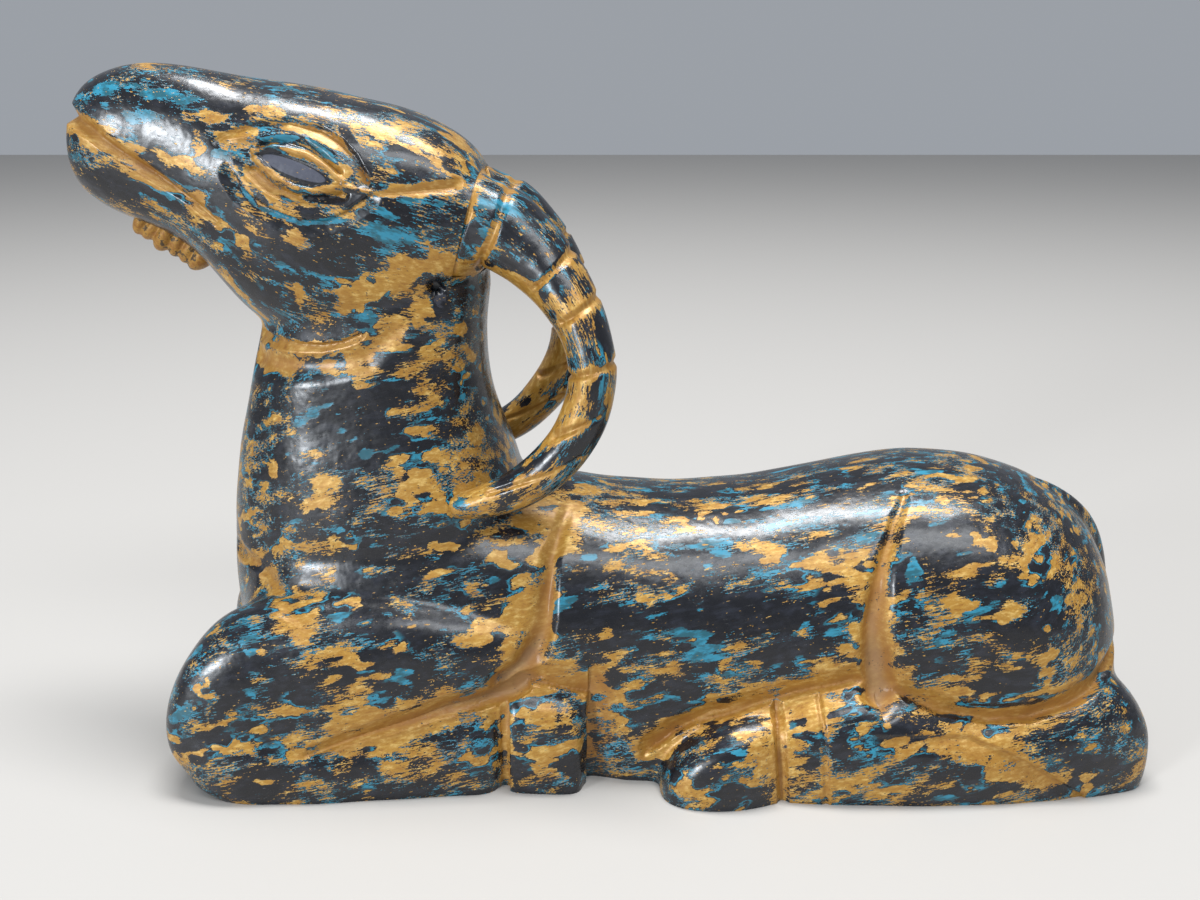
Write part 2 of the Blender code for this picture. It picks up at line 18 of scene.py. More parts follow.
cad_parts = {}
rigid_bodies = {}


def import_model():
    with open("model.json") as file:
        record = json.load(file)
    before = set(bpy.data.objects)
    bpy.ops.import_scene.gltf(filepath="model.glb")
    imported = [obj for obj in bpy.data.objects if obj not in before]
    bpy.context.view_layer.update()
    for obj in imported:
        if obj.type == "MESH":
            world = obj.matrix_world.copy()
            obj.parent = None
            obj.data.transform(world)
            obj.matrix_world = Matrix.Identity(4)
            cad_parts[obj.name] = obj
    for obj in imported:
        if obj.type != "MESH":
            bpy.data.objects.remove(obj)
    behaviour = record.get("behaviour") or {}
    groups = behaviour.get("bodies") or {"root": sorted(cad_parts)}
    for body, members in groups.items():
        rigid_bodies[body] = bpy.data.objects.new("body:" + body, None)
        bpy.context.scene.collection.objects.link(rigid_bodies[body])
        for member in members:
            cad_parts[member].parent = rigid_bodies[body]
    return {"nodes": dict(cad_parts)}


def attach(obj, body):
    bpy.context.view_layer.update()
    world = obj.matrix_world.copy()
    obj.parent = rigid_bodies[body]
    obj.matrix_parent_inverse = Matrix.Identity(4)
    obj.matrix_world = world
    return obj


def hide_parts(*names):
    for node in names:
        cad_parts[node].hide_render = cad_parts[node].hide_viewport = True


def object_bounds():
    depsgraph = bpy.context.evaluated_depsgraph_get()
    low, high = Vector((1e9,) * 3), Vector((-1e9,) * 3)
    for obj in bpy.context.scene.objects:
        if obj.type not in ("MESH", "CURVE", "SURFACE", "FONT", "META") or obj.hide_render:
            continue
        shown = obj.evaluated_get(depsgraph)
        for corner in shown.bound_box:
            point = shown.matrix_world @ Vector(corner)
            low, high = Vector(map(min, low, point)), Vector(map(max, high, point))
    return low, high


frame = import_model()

cad_low, cad_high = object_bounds()

# The carver's pattern is 352.5 units from the lips to the hocks; one unit is about a millimetre.
PATTERN_LENGTH = 352.5
UNIT = (cad_high.x - cad_low.x) / PATTERN_LENGTH
print(f"frame box {(cad_high - cad_low) * 1000} mm, one pattern unit is {UNIT * 1000:.4f} mm")

# %% [markdown]
# ## The camera
# The camera comes first, because the rest is judged through it. It stands in front of the left
# flank, a little more than one body length away, at the height of the crown and tipped down, so
# the near legs look larger than the far ones. A lens of about 37 mm gives that strong depth.

# %% Camera
CAMERA_PLACE = (-0.0069, -0.4094, 0.23)
CAMERA_TIP = math.radians(17.27)
CAMERA_LENS = 37.14
SENSOR_WIDTH = 36
camera_data = bpy.data.cameras.new("camera")
camera_data.lens = CAMERA_LENS
camera_data.sensor_width = SENSOR_WIDTH
camera = bpy.data.objects.new("camera", camera_data)
camera.location = CAMERA_PLACE
camera.rotation_euler = (math.pi / 2 - CAMERA_TIP, 0, 0)
bpy.context.scene.collection.objects.link(camera)
bpy.context.scene.camera = camera
bpy.context.scene.view_settings.view_transform = "Standard"
print("camera looks down by", round(math.degrees(CAMERA_TIP), 2), "degrees")

# %% [markdown]
# ## Forms as stations
# A carver draws the side view on the block and checks the thickness at a few places. A loft does
# the same: each station gives how low, how high and how wide the form is at one place, and
# subdivision rounds the form between them. It could be sculpted freely instead, but stations keep
# every blank the size that the frame has.

# %% Stations of the carved forms
SUNK = -7
SECTION_POINTS = 20

# (x, low, high, half width) from the chest to the rump.
TRUNK = (
    (-131, SUNK, 58, 20),
    (-128, SUNK, 70, 31),
    (-118, SUNK, 84, 40),
    (-100, SUNK, 95, 44),
    (-75, SUNK, 99, 46),
    (-50, SUNK, 99, 47),
    (-28, SUNK, 95.5, 47),
    (-8, SUNK, 91.5, 47),
    (15, SUNK, 89.5, 47.5),
    (38, SUNK, 90.5, 48),
    (60, SUNK, 94, 48.5),
    (80, SUNK, 99, 50),
    (98, SUNK, 101.5, 52),
    (114, SUNK, 101.5, 53),
    (130, SUNK, 99, 53),
    (144, SUNK, 94, 51),
    (156, SUNK, 86, 46),
    (163.5, SUNK, 77, 39),
    (169, SUNK, 62, 29),
    (171.2, SUNK, 46, 19),
)

# (z, front x, back x, half width) from the chest up to the jaw.
NECK = (
    (18, -130, -62, 36),
    (42, -134.5, -44, 42),
    (62, -135.5, -38, 43.5),
    (80, -134.5, -34, 43),
    (92, -133, -32, 41.5),
    (103, -131.5, -35, 39),
    (114, -129, -40, 35.5),
    (126, -126, -43.5, 33),
    (138, -122.5, -45, 31),
    (150, -119.5, -44.5, 30),
    (162, -116, -42.5, 28),
    (170, -108, -43.5, 24),
)

# (x, low, high, half width) from the lips to the crown.
HEAD = (
    (-176.4, 200, 209, 5),
    (-175.3, 195, 214, 9),
    (-172.8, 190.5, 221, 12.5),
    (-168.5, 186.5, 226.5, 15),
    (-161, 182.5, 230, 17),
    (-152, 180, 231.5, 19),
    (-142, 175, 231, 21),
    (-134, 167, 229.8, 23),
    (-127, 158, 228.5, 25),
    (-119, 148, 227, 27),
    (-108, 143, 225.5, 29.5),
    (-95, 141.5, 223.6, 31),
    (-82, 143, 221, 31.5),
    (-70, 147, 218.3, 31.5),
    (-59, 153, 213.8, 31),
    (-51, 159, 208.5, 30),
    (-46, 163, 203.5, 28),
    (-42, 168, 197, 22),
)

# (x, low, high, half width, centre y) of the left legs. The right ones mirror them.
LEGS = {
    "arm": (
        (-150, 15, 27, 6, -41),
        (-148, 10, 35, 12, -41),
        (-142.5, 3.5, 46, 16, -40),
        (-134, SUNK, 56, 18, -39),
        (-122, SUNK, 62.5, 20, -37),
        (-104, SUNK, 66, 21, -35.5),
        (-84, 4, 67, 21, -35),
        (-64, 16, 67, 21, -33.5),
        (-46, 26, 64, 21, -31.5),
        (-32, 34, 60, 20, -30),
        (-23, 41, 54, 16, -30),
    ),
    "fore_shank": (
        (-143, 6, 24, 9, -46),
        (-137, 0, 30, 16, -43.5),
        (-120, SUNK, 27, 19, -41),
        (-100, SUNK, 22.5, 20.5, -39),
        (-82, SUNK, 24, 20, -37.5),
        (-64, SUNK, 28.5, 19.5, -36),
        (-48, SUNK, 33, 19, -35.5),
        (-38, SUNK, 34.5, 18, -35),
    ),
    "fore_hoof": (
        (-39, SUNK, 32, 15, -36),
        (-36, SUNK, 35, 17.5, -36),
        (-24, SUNK, 34, 18, -36),
        (-14.5, SUNK, 32, 18, -36),
        (-12, SUNK, 29, 16, -36),
    ),
    "hind_shank": (
        (48, SUNK, 27, 13, -44),
        (56, SUNK, 31, 17, -42),
        (68, SUNK, 37, 19.5, -41),
        (80, SUNK, 39.5, 20.5, -40.5),
        (94, SUNK, 35, 20.5, -40.5),
        (108, SUNK, 30.5, 20.5, -40),
        (124, SUNK, 28.5, 20, -39.5),
        (140, SUNK, 32, 19.5, -38.5),
        (154, SUNK, 39, 19, -37),
        (164, SUNK, 37, 17, -36.5),
        (172, SUNK, 29, 14, -37),
        (176.5, 4, 21, 8, -39),
    ),
    "hind_hoof": (
        (13, SUNK, 7, 5, -49),
        (16, SUNK, 13, 10, -49.5),
        (24, SUNK, 20, 13, -50),
        (34, SUNK, 25.5, 14, -50),
        (44, SUNK, 27.5, 13.5, -48.5),
        (52, SUNK, 28.5, 12.5, -45.5),
        (58, SUNK, 29, 12, -44),
    ),
}

# (x, y, z, half height, half width) of the tail strip, down the middle of the rump.
TAIL = (
    (143, 0, 92, 2, 3.5),
    (153, 0, 87.5, 3, 4.5),
    (162, 0, 80.5, 3.2, 5),
    (168, 0, 70, 3.2, 5),
    (171, 0, 58, 3, 4.5),
    (172, 0, 50, 2, 3),
)

# (x, y, z, half height, half width) of the left horn from inside the crown to its tip.
HORN = (
    (-64, -15, 187, 15, 13),
    (-49, -15.5, 185.5, 14.8, 13.3),
    (-38, -18, 181, 13.8, 13),
    (-28.5, -21.5, 174, 12, 12),
    (-20.5, -26, 166, 10.3, 11),
    (-14.2, -31, 157, 8.8, 10),
    (-10.4, -35.5, 147.5, 8, 9),
    (-9.2, -38, 138.5, 7.8, 8.5),
    (-10.6, -39, 129.5, 7.8, 8.2),
    (-14, -39.3, 121, 7.8, 8),
    (-19.5, -39, 113, 7.6, 7.6),
    (-26.5, -38.5, 106, 7.2, 7.2),
    (-35, -37.8, 100.5, 6.6, 6.6),
    (-44.5, -36.6, 96.8, 5.4, 5.6),
    (-53.5, -35, 94.2, 3.4, 4),
)
HORN_STUB_STATIONS = 5
RIGHT_HORN_TUCK = 8
TUCK_TOP = 186
TUCK_BOTTOM = 140

# How square each section is: 2 is an ellipse, for its lower and upper half.
SQUARE = {
    "trunk": (7, 2.35),
    "neck": (2.5, 2.7),
    "head": (2.3, 2.4),
    "arm": (3, 2.4),
    "fore_shank": (4, 2.6),
    "fore_hoof": (4, 4),
    "hind_shank": (4, 2.5),
    "hind_hoof": (4, 2.8),
    "limb": (2.2, 2.2),
}
WIDEST = {"trunk": 0.42, "head": 0.5, "leg": 0.45}
THROAT_TAPER = 0.14
SIDES = {"left": -1, "right": 1}
print(len(TRUNK) + len(NECK) + len(HEAD), "stations for trunk, neck and head")

# %% Helpers that make a loft
LIMB_POINTS = 10
workshop = bpy.data.collections.new("workshop")
figure = bpy.data.collections.new("lacquered_ibex")
bpy.context.scene.collection.children.link(workshop)
bpy.context.scene.collection.children.link(figure)


def put(name, mesh, collection):
    """Links a new object that holds this mesh."""
    obj = bpy.data.objects.new(name, mesh)
    collection.objects.link(obj)
    return obj


def plain_mesh(obj, name):
    """The object's mesh as its modifiers leave it. The object itself is removed."""
    bpy.context.view_layer.update()
    mesh = bpy.data.meshes.new_from_object(obj.evaluated_get(bpy.context.evaluated_depsgraph_get()))
    mesh.name = name
    bpy.data.objects.remove(obj)
    return mesh


def round_section(half_width, low, high, square, widest, count):
    """Points (across, up) of a rounded section, squarer for higher powers in square."""
    low_power, high_power = square
    centre = low + (high - low) * widest
    points = []
    for step in range(count):
        angle = 2 * math.pi * step / count
        cosine = math.cos(angle)
        sine = math.sin(angle)
        power = high_power if sine > 0 else low_power
        reach = (high - centre) if sine > 0 else (centre - low)
        across = half_width * math.copysign(abs(cosine) ** (2 / power), cosine)
        points.append((across, centre + reach * math.copysign(abs(sine) ** (2 / power), sine)))
    return points


def loft(name, rings, rounding=2):
    """A closed mesh through rings of points in pattern units, rounded by subdivision."""
    shape = bmesh.new()
    loops = [[shape.verts.new(Vector(point) * UNIT) for point in ring] for ring in rings]
    for near, far in zip(loops, loops[1:]):
        for index in range(len(near)):
            after = (index + 1) % len(near)
            shape.faces.new((near[index], near[after], far[after], far[index]))
    shape.faces.new(loops[0])
    shape.faces.new(loops[-1])
    bmesh.ops.recalc_face_normals(shape, faces=shape.faces)
    mesh = bpy.data.meshes.new(name)
    shape.to_mesh(mesh)
    shape.free()
    obj = put(name, mesh, workshop)
    soft = obj.modifiers.new("rounding", "SUBSURF")
    soft.levels = rounding
    soft.render_levels = rounding
    return plain_mesh(obj, name)


def upright_form(name, stations, square, widest):
    """A form of upright sections. Stations are (x, low, high, half width, centre y)."""
    rings = []
    for x, low, high, half_width, centre in stations:
        section = round_section(half_width, low, high, square, widest, SECTION_POINTS)
        rings.append([(x, centre + across, up) for across, up in section])
    return loft(name, rings)


def neck_form():
    """A column of flat sections, narrower at the throat than at the nape."""
    rings = []
    for z, front, back, half_width in NECK:
        middle = (front + back) / 2
        reach = (back - front) / 2
        ring = []
        for across, along in round_section(1, -1, 1, SQUARE["neck"], 0.5, SECTION_POINTS):
            narrowing = 1 - THROAT_TAPER * (1 - along)
            ring.append((middle + reach * along, half_width * across * narrowing, z))
        rings.append(ring)
    return loft("neck_form", rings)


def limb_form(name, stations):
    """A tapering round limb along a path: each ring is square to the path."""
    centres = [Vector(station[:3]) for station in stations]
    rings = []
    for index, (x, y, z, tall, wide) in enumerate(stations):
        ahead = centres[min(index + 1, len(centres) - 1)]
        behind = centres[max(index - 1, 0)]
        direction = (ahead - behind).normalized()
        across = direction.cross(Vector((0, 1, 0))).normalized()
        sideways = across.cross(direction).normalized()
        section = round_section(1, -1, 1, SQUARE["limb"], 0.5, LIMB_POINTS)
        rings.append([centres[index] + across * tall * up + sideways * wide * side
                      for side, up in section])
    return loft(name, rings)


def horn_stations(side):
    """The horn's stations on its own side; the right horn hooks closer to the neck."""
    stations = []
    for x, y, z, tall, wide in HORN:
        drop = min(1, max(0, (TUCK_TOP - z) / (TUCK_TOP - TUCK_BOTTOM)))
        tuck = RIGHT_HORN_TUCK * drop if side > 0 else 0
        stations.append((x - tuck, -side * y, z, tall, wide))
    return stations


# %% Make the rough forms
middle_forms = {"trunk": TRUNK, "head": HEAD}
forms = [neck_form(), limb_form("tail_form", TAIL)]
for form_name, stations in middle_forms.items():
    stations = [station + (0,) for station in stations]
    forms.append(upright_form(form_name, stations, SQUARE[form_name], WIDEST[form_name]))
for side_name, side in SIDES.items():
    for leg_name, stations in LEGS.items():
        stations = [station[:4] + (-side * station[4],) for station in stations]
        forms.append(upright_form(leg_name, stations, SQUARE[leg_name], WIDEST["leg"]))
    forms.append(limb_form("horn_stub", horn_stations(side)[:HORN_STUB_STATIONS]))
print(len(forms), "rough forms")

# %% [markdown]
# ## One carved skin
# On the bench the glued blanks are shaped together, so the surface runs over the glue lines
# without a step. A voxel remesh gives that: it wraps one closed skin round all the overlapping
# forms, and a smooth modifier blends the corners where they meet, as a rasp and paper do.
# A Boolean union would leave hard corners instead.

# %% Wrap and blend the skin
SKIN_VOXEL = 0.95
BLEND_STEPS = 48


def wrapped(forms, name):
    """One closed skin round the forms, with blended corners."""
    gathered = bmesh.new()
    for form in forms:
        gathered.from_mesh(form)
    mesh = bpy.data.meshes.new(name)
    gathered.to_mesh(mesh)
    gathered.free()
    obj = put(name, mesh, workshop)
    wrap = obj.modifiers.new("wrap", "REMESH")
    wrap.mode = "VOXEL"
    wrap.voxel_size = SKIN_VOXEL * UNIT
    sanding = obj.modifiers.new("sanding", "SMOOTH")
    sanding.factor = 0.5
    sanding.iterations = BLEND_STEPS
    return plain_mesh(obj, name)


skin = wrapped(forms, "skin")
print(len(skin.polygons), "faces in the blended skin")

# %% [markdown]
# ## Finer stock where the knife works
# Eyes, lips and grooves need smaller faces than a flank does. The faces round the eyes and near
# the carved lines are split once before the cuts, which costs far less than a finer wrap of the
# whole figure. Points and normals are read into arrays, since that is quick.

# %% Arrays of points


def point_array(mesh):
    """The mesh's points in pattern units."""
    values = np.empty(len(mesh.vertices) * 3, np.float32)
    mesh.vertices.foreach_get("co", values)
    return values.reshape(-1, 3).astype(float) / UNIT


def normal_array(mesh):
    """The mesh's point normals."""
    values = np.empty(len(mesh.vertices) * 3, np.float32)
    mesh.vertex_normals.foreach_get("vector", values)
    return values.reshape(-1, 3).astype(float)


def set_points(mesh, places):
    """Moves the mesh's points to these places in pattern units."""
    mesh.vertices.foreach_set("co", (places * UNIT).astype(np.float32).ravel())
    mesh.update()


print("blended skin spans", np.ptp(point_array(skin), axis=0).round(1), "pattern units")

# %% The carved lines
# Each line has (x, z) points, then (width on its left, width on its right, depth) at its start
# and at its end, then how round its floor is and how far gold strays beside it. Left is the left
# hand of someone who walks along the line on a drawing with +X to the right and +Z up. A floor
# of 0 is a sharp V, 1 a gouge's trough and SWALE a soft hollow without edges. A negative depth
# raises a ridge instead.
SWALE = 2
# The share of a swale's width that holds as much gold as its middle.
SWALE_CORE = 0.25
FLANK_PATH = ((93, 94.5), (88.5, 88.5), (85, 81), (82, 72), (80.3, 60), (80.8, 49), (82.5, 38))
CUTS = {
    "mouth": (((-178, 218), (-170, 214), (-164, 210.8), (-158.5, 206.6), (-146, 198.4), (-133, 190.3),
               (-125.5, 184)), (3.6, 3.6, 3.4), (1.6, 1.5, 1.3), 0.3, 3.2),
    "jaw_crescent": (((-122, 148), (-113, 146), (-104, 145), (-96, 144.8), (-88, 146.4), (-83, 148.6)),
                     (1.0, 5.5, 1.8), (0.8, 2.6, 1.2), 0.1, 0.8),
    "under_jaw": (((-126, 139), (-110, 138), (-95, 139), (-82, 142), (-72, 150)),
                  (6.0, 8.0, 1.9), (5.0, 7.0, 1.2), SWALE, 4.0),
    "brow": (((-122, 209.5), (-115.8, 212), (-109, 213.6), (-101, 214), (-91.2, 212),
              (-85, 208.6), (-80.5, 203.8), (-77, 197.6)), (0.8, 3.6, 1.1), (0.8, 3.6, 2.4), 0.1, 0.0),
    "lid_crease": (((-110.4, 206.4), (-106, 208.2), (-100.7, 208.7), (-96.3, 207.5), (-91.6, 204.6),
                    (-85.6, 199.4)), (1.6, 0.9, 1.7), (1.4, 0.9, 1.4), 0.2, 0.0),
    "upper_lid": (((-111.6, 205.4), (-106, 206.4), (-101.8, 206.0), (-95, 204.2), (-89.5, 200.8),
                   (-84.4, 196.4)), (1.5, 1.3, -1.3), (1.2, 1.1, -1.0), 0.9, 0.3),
    "lower_lid": (((-111, 203.4), (-105.6, 198.2), (-99.8, 195.0), (-93.4, 193.9), (-85.6, 195.4)),
                  (1.2, 1.5, -1.1), (1.1, 1.3, -0.9), 0.9, 0.3),
    "eye_corner": (((-85, 195.8), (-80, 194.0), (-74, 193.2)),
                   (1.1, 1.1, -0.9), (0.8, 0.8, -0.4), 0.8, 0.4),
    "below_lid": (((-112, 200), (-106.6, 195.4), (-100, 192.4), (-93.4, 191.4), (-85, 192.8)),
                  (1.2, 3.0, 1.7), (1.2, 2.6, 1.5), 0.3, 0.2),
    "bag": (((-118, 198), (-115.7, 193.6), (-109, 189), (-103, 186.2), (-95, 184.6), (-90, 184.8),
             (-84.5, 187), (-77, 192)), (0.7, 4.8, 1.4), (0.7, 4.2, 1.3), 0.0, 0.0),
    "eye_tail": (((-76, 193.0), (-68, 193.4), (-60, 194.2), (-51, 195.0)),
                 (0.6, 0.8, 0.5), (2.6, 2.2, 1.5), 0.3, 1.0),
    "tear_duct": (((-120, 207.6), (-115, 208.0), (-111.5, 207.6)),
                  (2.4, 2.4, 1.0), (1.2, 1.2, 0.5), 1.0, 0.8),
    "knee": (((-130, 73), (-121, 70), (-111, 64), (-100, 59)), (4.0, 3.0, 1.9), (3.0, 2.0, 0.3), 0.3, 2.0),
    "shoulder": (((-15, 93), (-18.5, 86.5), (-22.6, 77), (-23.6, 68), (-24.6, 58.6), (-27, 50),
                  (-31, 43), (-37, 38.5)), (2.5, 3.0, 0.2), (6.5, 9.0, 5.0), SWALE, 5.0),
    "shoulder_line": (((-22, 79), (-23.6, 68), (-24.6, 58.6), (-27, 50), (-31, 43), (-37, 38.5)),
                      (0.6, 0.8, 0.2), (1.0, 1.0, 0.9), 0.0, 0.0),
    "elbow": (((-100, 17), (-86, 21.5), (-72, 25), (-56, 28.8), (-40, 31.5), (-31, 36)),
              (3.0, 1.2, 1.4), (11, 2.0, 4.8), 0.2, 5.0),
    "flank": (FLANK_PATH, (2.6, 1.4, 0.9), (11, 7.0, 5.2), SWALE, 6.0),
    "flank_line": (FLANK_PATH, (1.4, 0.6, 0.5), (1.2, 0.9, 0.8), 0.0, 1.0),
    "thigh": (((26, 24), (45, 30.5), (58, 34.8), (75, 39.5), (84, 38.8), (91, 35.6), (103, 30.6),
               (119, 27.4), (133, 28), (146, 32), (160, 38.5), (170, 44)),
              (5.5, 1.6, 2.2), (6.5, 1.8, 3.2), 0.0, 4.0),
    "hock": (((80, 24.5), (95, 24.2), (112, 23.2), (125, 17.9), (136, 12), (151, 1)),
             (1.0, 6.0, 0.9), (0.8, 5.5, 1.5), 0.1, 2.0),
    "fore_fetlock": (((-38, 42), (-37.4, 18), (-37.8, -4)), (1.2, 2.2, 2.0), (1.2, 2.2, 1.8), 0.1, 1.6),
    "fore_hoof_top": (((-36, 37.6), (-24, 36.8), (-11, 33.5)), (8.0, 0.9, 1.8), (9.0, 0.9, 3.0), 0.1, 3.0),
    "fore_hoof_end": (((-10.6, 34), (-10.4, 16), (-10.8, -4)), (13, 0.9, 3.4), (13, 0.9, 2.6), 0.0, 0.0),
    "hind_fetlock": (((50.2, 34), (51, 20), (53, -4)), (2.6, 1.8, 2.1), (2.6, 1.8, 1.9), 0.2, 2.4),
    "hind_hoof_top": (((12, 14), (18, 19.5), (30, 27), (46, 31)),
                      (6.5, 0.8, 3.0), (5.0, 0.8, 2.0), 0.2, 3.0),
    "hind_ring": (((63.6, 38), (65.2, 22), (67, -4)), (1.2, 1.2, 0.8), (1.2, 1.2, 0.7), 0.3, 1.0),
    "neck_edge": (((-117, 128), (-118, 117), (-119, 95), (-119.5, 76), (-118, 64)),
                  (5.0, 4.0, 0.3), (5.0, 4.0, 0.8), SWALE, 0.0),
}
# Faces this near to a line, in pattern units beyond its widths, are split.
SPLIT_MARGIN = 1.0
# (centre x, centre z, half length, half height) of the region round the eye that is split.
EYE_STOCK = (-97.5, 199, 25, 18)
# Faces more level than this, such as the flat underside, aren't split.
UPRIGHT_ENOUGH = 0.15


def along_line(spots, line, start, end, roundness):
    """Depth of a carved line at (x, z) spots, and how far outside its gold core each spot is."""
    points = np.array(line, float)
    runs = np.diff(points, axis=0)
    lengths = np.hypot(runs[:, 0], runs[:, 1])
    travelled = np.concatenate([[0], np.cumsum(lengths)])
    best = np.full(len(spots), 1e9)
    signed = np.zeros(len(spots))
    share = np.zeros(len(spots))
    for index, run in enumerate(runs):
        from_start = spots - points[index]
        along = np.clip(from_start @ run / lengths[index] ** 2, 0, 1)
        away = from_start - along[:, None] * run
        distance = np.hypot(away[:, 0], away[:, 1])
        closer = distance < best
        turn = np.sign(run[0] * from_start[:, 1] - run[1] * from_start[:, 0])
        best = np.where(closer, distance, best)
        signed = np.where(closer, distance * turn, signed)
        share = np.where(closer, (travelled[index] + along * lengths[index]) / travelled[-1], share)
    left, right, depth = (near + (far - near) * share for near, far in zip(start, end))
    width = np.where(signed > 0, left, right)
    rise = np.clip(1 - np.abs(signed) / width, 0, 1)
    trough = 1 - (1 - rise) ** 2
    floor_shape = rise + (trough - rise) * roundness
    core = 1.0
    if roundness == SWALE:
        floor_shape = rise * rise * (3 - 2 * rise)
        core = SWALE_CORE
    return depth * floor_shape, np.abs(signed) - width * core


def split_fine(mesh):
    """Splits the faces that lie near a carved line or round the eyes."""
    spots = point_array(mesh)[:, [0, 2]]
    upright = np.hypot(*normal_array(mesh)[:, :2].T) > UPRIGHT_ENOUGH
    wanted = np.zeros(len(spots), bool)
    for line, start, end, *_ in CUTS.values():
        grown_start = (start[0] + SPLIT_MARGIN, start[1] + SPLIT_MARGIN, 1)
        grown_end = (end[0] + SPLIT_MARGIN, end[1] + SPLIT_MARGIN, 1)
        wanted |= along_line(spots, line, grown_start, grown_end, 0)[0] > 0
    x, z, half_length, half_height = EYE_STOCK
    wanted |= ((spots[:, 0] - x) / half_length) ** 2 + ((spots[:, 1] - z) / half_height) ** 2 < 1
    wanted &= upright
    shape = bmesh.new()
    shape.from_mesh(mesh)
    edges = [edge for edge in shape.edges
             if wanted[edge.verts[0].index] and wanted[edge.verts[1].index]]
    bmesh.ops.subdivide_edges(shape, edges=edges, cuts=1, use_grid_fill=True, smooth=0)
    shape.to_mesh(mesh)
    shape.free()


split_fine(skin)
print(len(skin.polygons), "faces after splitting")

# %% [markdown]
# ## Carving
# Every cut presses the skin in along its own normal by the depth of the nearest carved line.
# Working on the points as arrays is quick and gives each groove its own two slopes, so one side
# can be steep and the other long, as a knife leaves it. What was cut is kept as marks on the
# points, because the gold collects there later.

# %% Slow steps and swells
WAVES = 7
# A wave is this much shorter or longer than the swell.
WAVE_LENGTHS = (0.7, 1.5)
# The sum of the waves is divided by this, so that it mostly stays within -1 and 1.
WAVE_REACH = 3.7


def ease(value, low, high):
    """0 below low, 1 above high and smooth between."""
    share = np.clip((value - low) / (high - low), 0, 1)
    return share * share * (3 - 2 * share)


def waves(places, size, seed):
    """A slow random swell between about -1 and 1, from a few crossing sine waves."""
    draw = np.random.default_rng(seed)
    total = np.zeros(len(places))
    for _ in range(WAVES):
        direction = draw.normal(size=3)
        direction /= np.linalg.norm(direction)
        pace = 2 * math.pi / (size * draw.uniform(*WAVE_LENGTHS))
        total += np.sin(places @ direction * pace + draw.uniform(0, 2 * math.pi))
    return total / WAVE_REACH


def inside_oval(spots, centre, half_length, half_height, tilt=0.0):
    """1 in the middle of a tilted oval, 0 on its edge and negative outside."""
    from_centre = spots - np.array(centre)
    along = from_centre[:, 0] * math.cos(tilt) + from_centre[:, 1] * math.sin(tilt)
    across = from_centre[:, 1] * math.cos(tilt) - from_centre[:, 0] * math.sin(tilt)
    return 1 - (along / half_length) ** 2 - (across / half_height) ** 2


print("a swell adds up", WAVES, "waves")

# %% Carve the skin
# Ovals as centre (x, z), half length and half height: the eyeball with its tilt, the socket with
# its depth. The pit under the horn's root is a circle with its depth.
EYEBALL = ((-99.4, 200.2), 12.6, 3.6, math.radians(-20))
EYEBALL_SWELL = 0.7
SOCKET = ((-98, 200), 21, 12)
SOCKET_DEPTH = 1.6
PIT = ((-58, 163.5), 2.5, 2.5)
PIT_DEPTH = 3.2
# The tool leaves swells of this height. Each pair of waves below is a swell's length and seed.
TOOL_SWELL = 0.28
TOOL_WAVES = (26, 5)
# A raised lid is marked like a cut this many times its height, so that it holds gold too.
LID_MARK = 1.1
# A cut bites where the surface turns far enough to the side, or, for cuts that wrap round the
# form, far enough from level. It has its full depth at the second number.
SIDE_FACING = (0.18, 0.5)
UPRIGHT_FACING = (0.2, 0.5)
WRAPS_ROUND = ("mouth", "fore_fetlock", "hind_fetlock")
# The knife's depth and the edge of the stray gold waver by these shares.
KNIFE_WAVER = 0.14
KNIFE_WAVES = (11, 3)
EDGE_WAVER = 0.3
EDGE_WAVES = (7, 4)


def carve(mesh):
    """Cuts the lines, the eye and the pit. Returns each point's depth of cut and its share of
    the gold that strays beside the cuts."""
    places = point_array(mesh)
    normals = normal_array(mesh)
    spots = places[:, [0, 2]]
    sideways = ease(np.abs(normals[:, 1]), *SIDE_FACING)
    upright = ease(np.hypot(normals[:, 0], normals[:, 1]), *UPRIGHT_FACING)
    depth, raised, strays = np.zeros((3, len(places)))
    knife = 1 + KNIFE_WAVER * waves(places, *KNIFE_WAVES)
    edge = EDGE_WAVER * waves(places, *EDGE_WAVES)
    for name, (line, start, end, roundness, spread) in CUTS.items():
        cut, outside = along_line(spots, line, start, end, roundness)
        bite = upright if name in WRAPS_ROUND else sideways
        cut *= bite * knife
        depth = np.maximum(depth, cut)
        raised = np.minimum(raised, cut)
        if spread:
            near = np.clip(1 - (outside + spread * edge) / spread, 0, 1)
            strays = np.maximum(strays, near * bite)
    socket = np.clip(inside_oval(spots, *SOCKET, EYEBALL[3]), 0, 1) * SOCKET_DEPTH
    ball = np.sqrt(np.clip(inside_oval(spots, *EYEBALL), 0, 1)) * EYEBALL_SWELL
    pit = np.sqrt(np.clip(inside_oval(spots, *PIT), 0, 1)) * PIT_DEPTH
    total = depth + raised + (socket - ball + pit) * sideways
    places -= normals * (total + TOOL_SWELL * waves(places, *TOOL_WAVES))[:, None]
    set_points(mesh, places)
    return np.maximum(depth, -LID_MARK * raised), strays


cut_depth, stray_gold = carve(skin)
print("deepest cut", round(float(cut_depth.max()), 2), "pattern units")

# %% [markdown]
# ## Marks for the finish
# The finish has to know where the form was cut, which way it runs, and where the painter left
# more gold, teal or black. These are kept as named attributes on the points. The flow is a
# place measured along the form, so that a rubbed streak runs with the head, the flank or a horn.

# %% Flow and marks
HEAD_TURN = math.radians(17)
HEAD_PIVOT = (-80, 150)
# The neck's flow turns into the head's between these heights.
HEAD_HEIGHTS = (132, 172)
BODY_TURN = math.radians(-12)
RUMP_TURN = math.radians(-52)
RUMP_PIVOT = (140, 55)
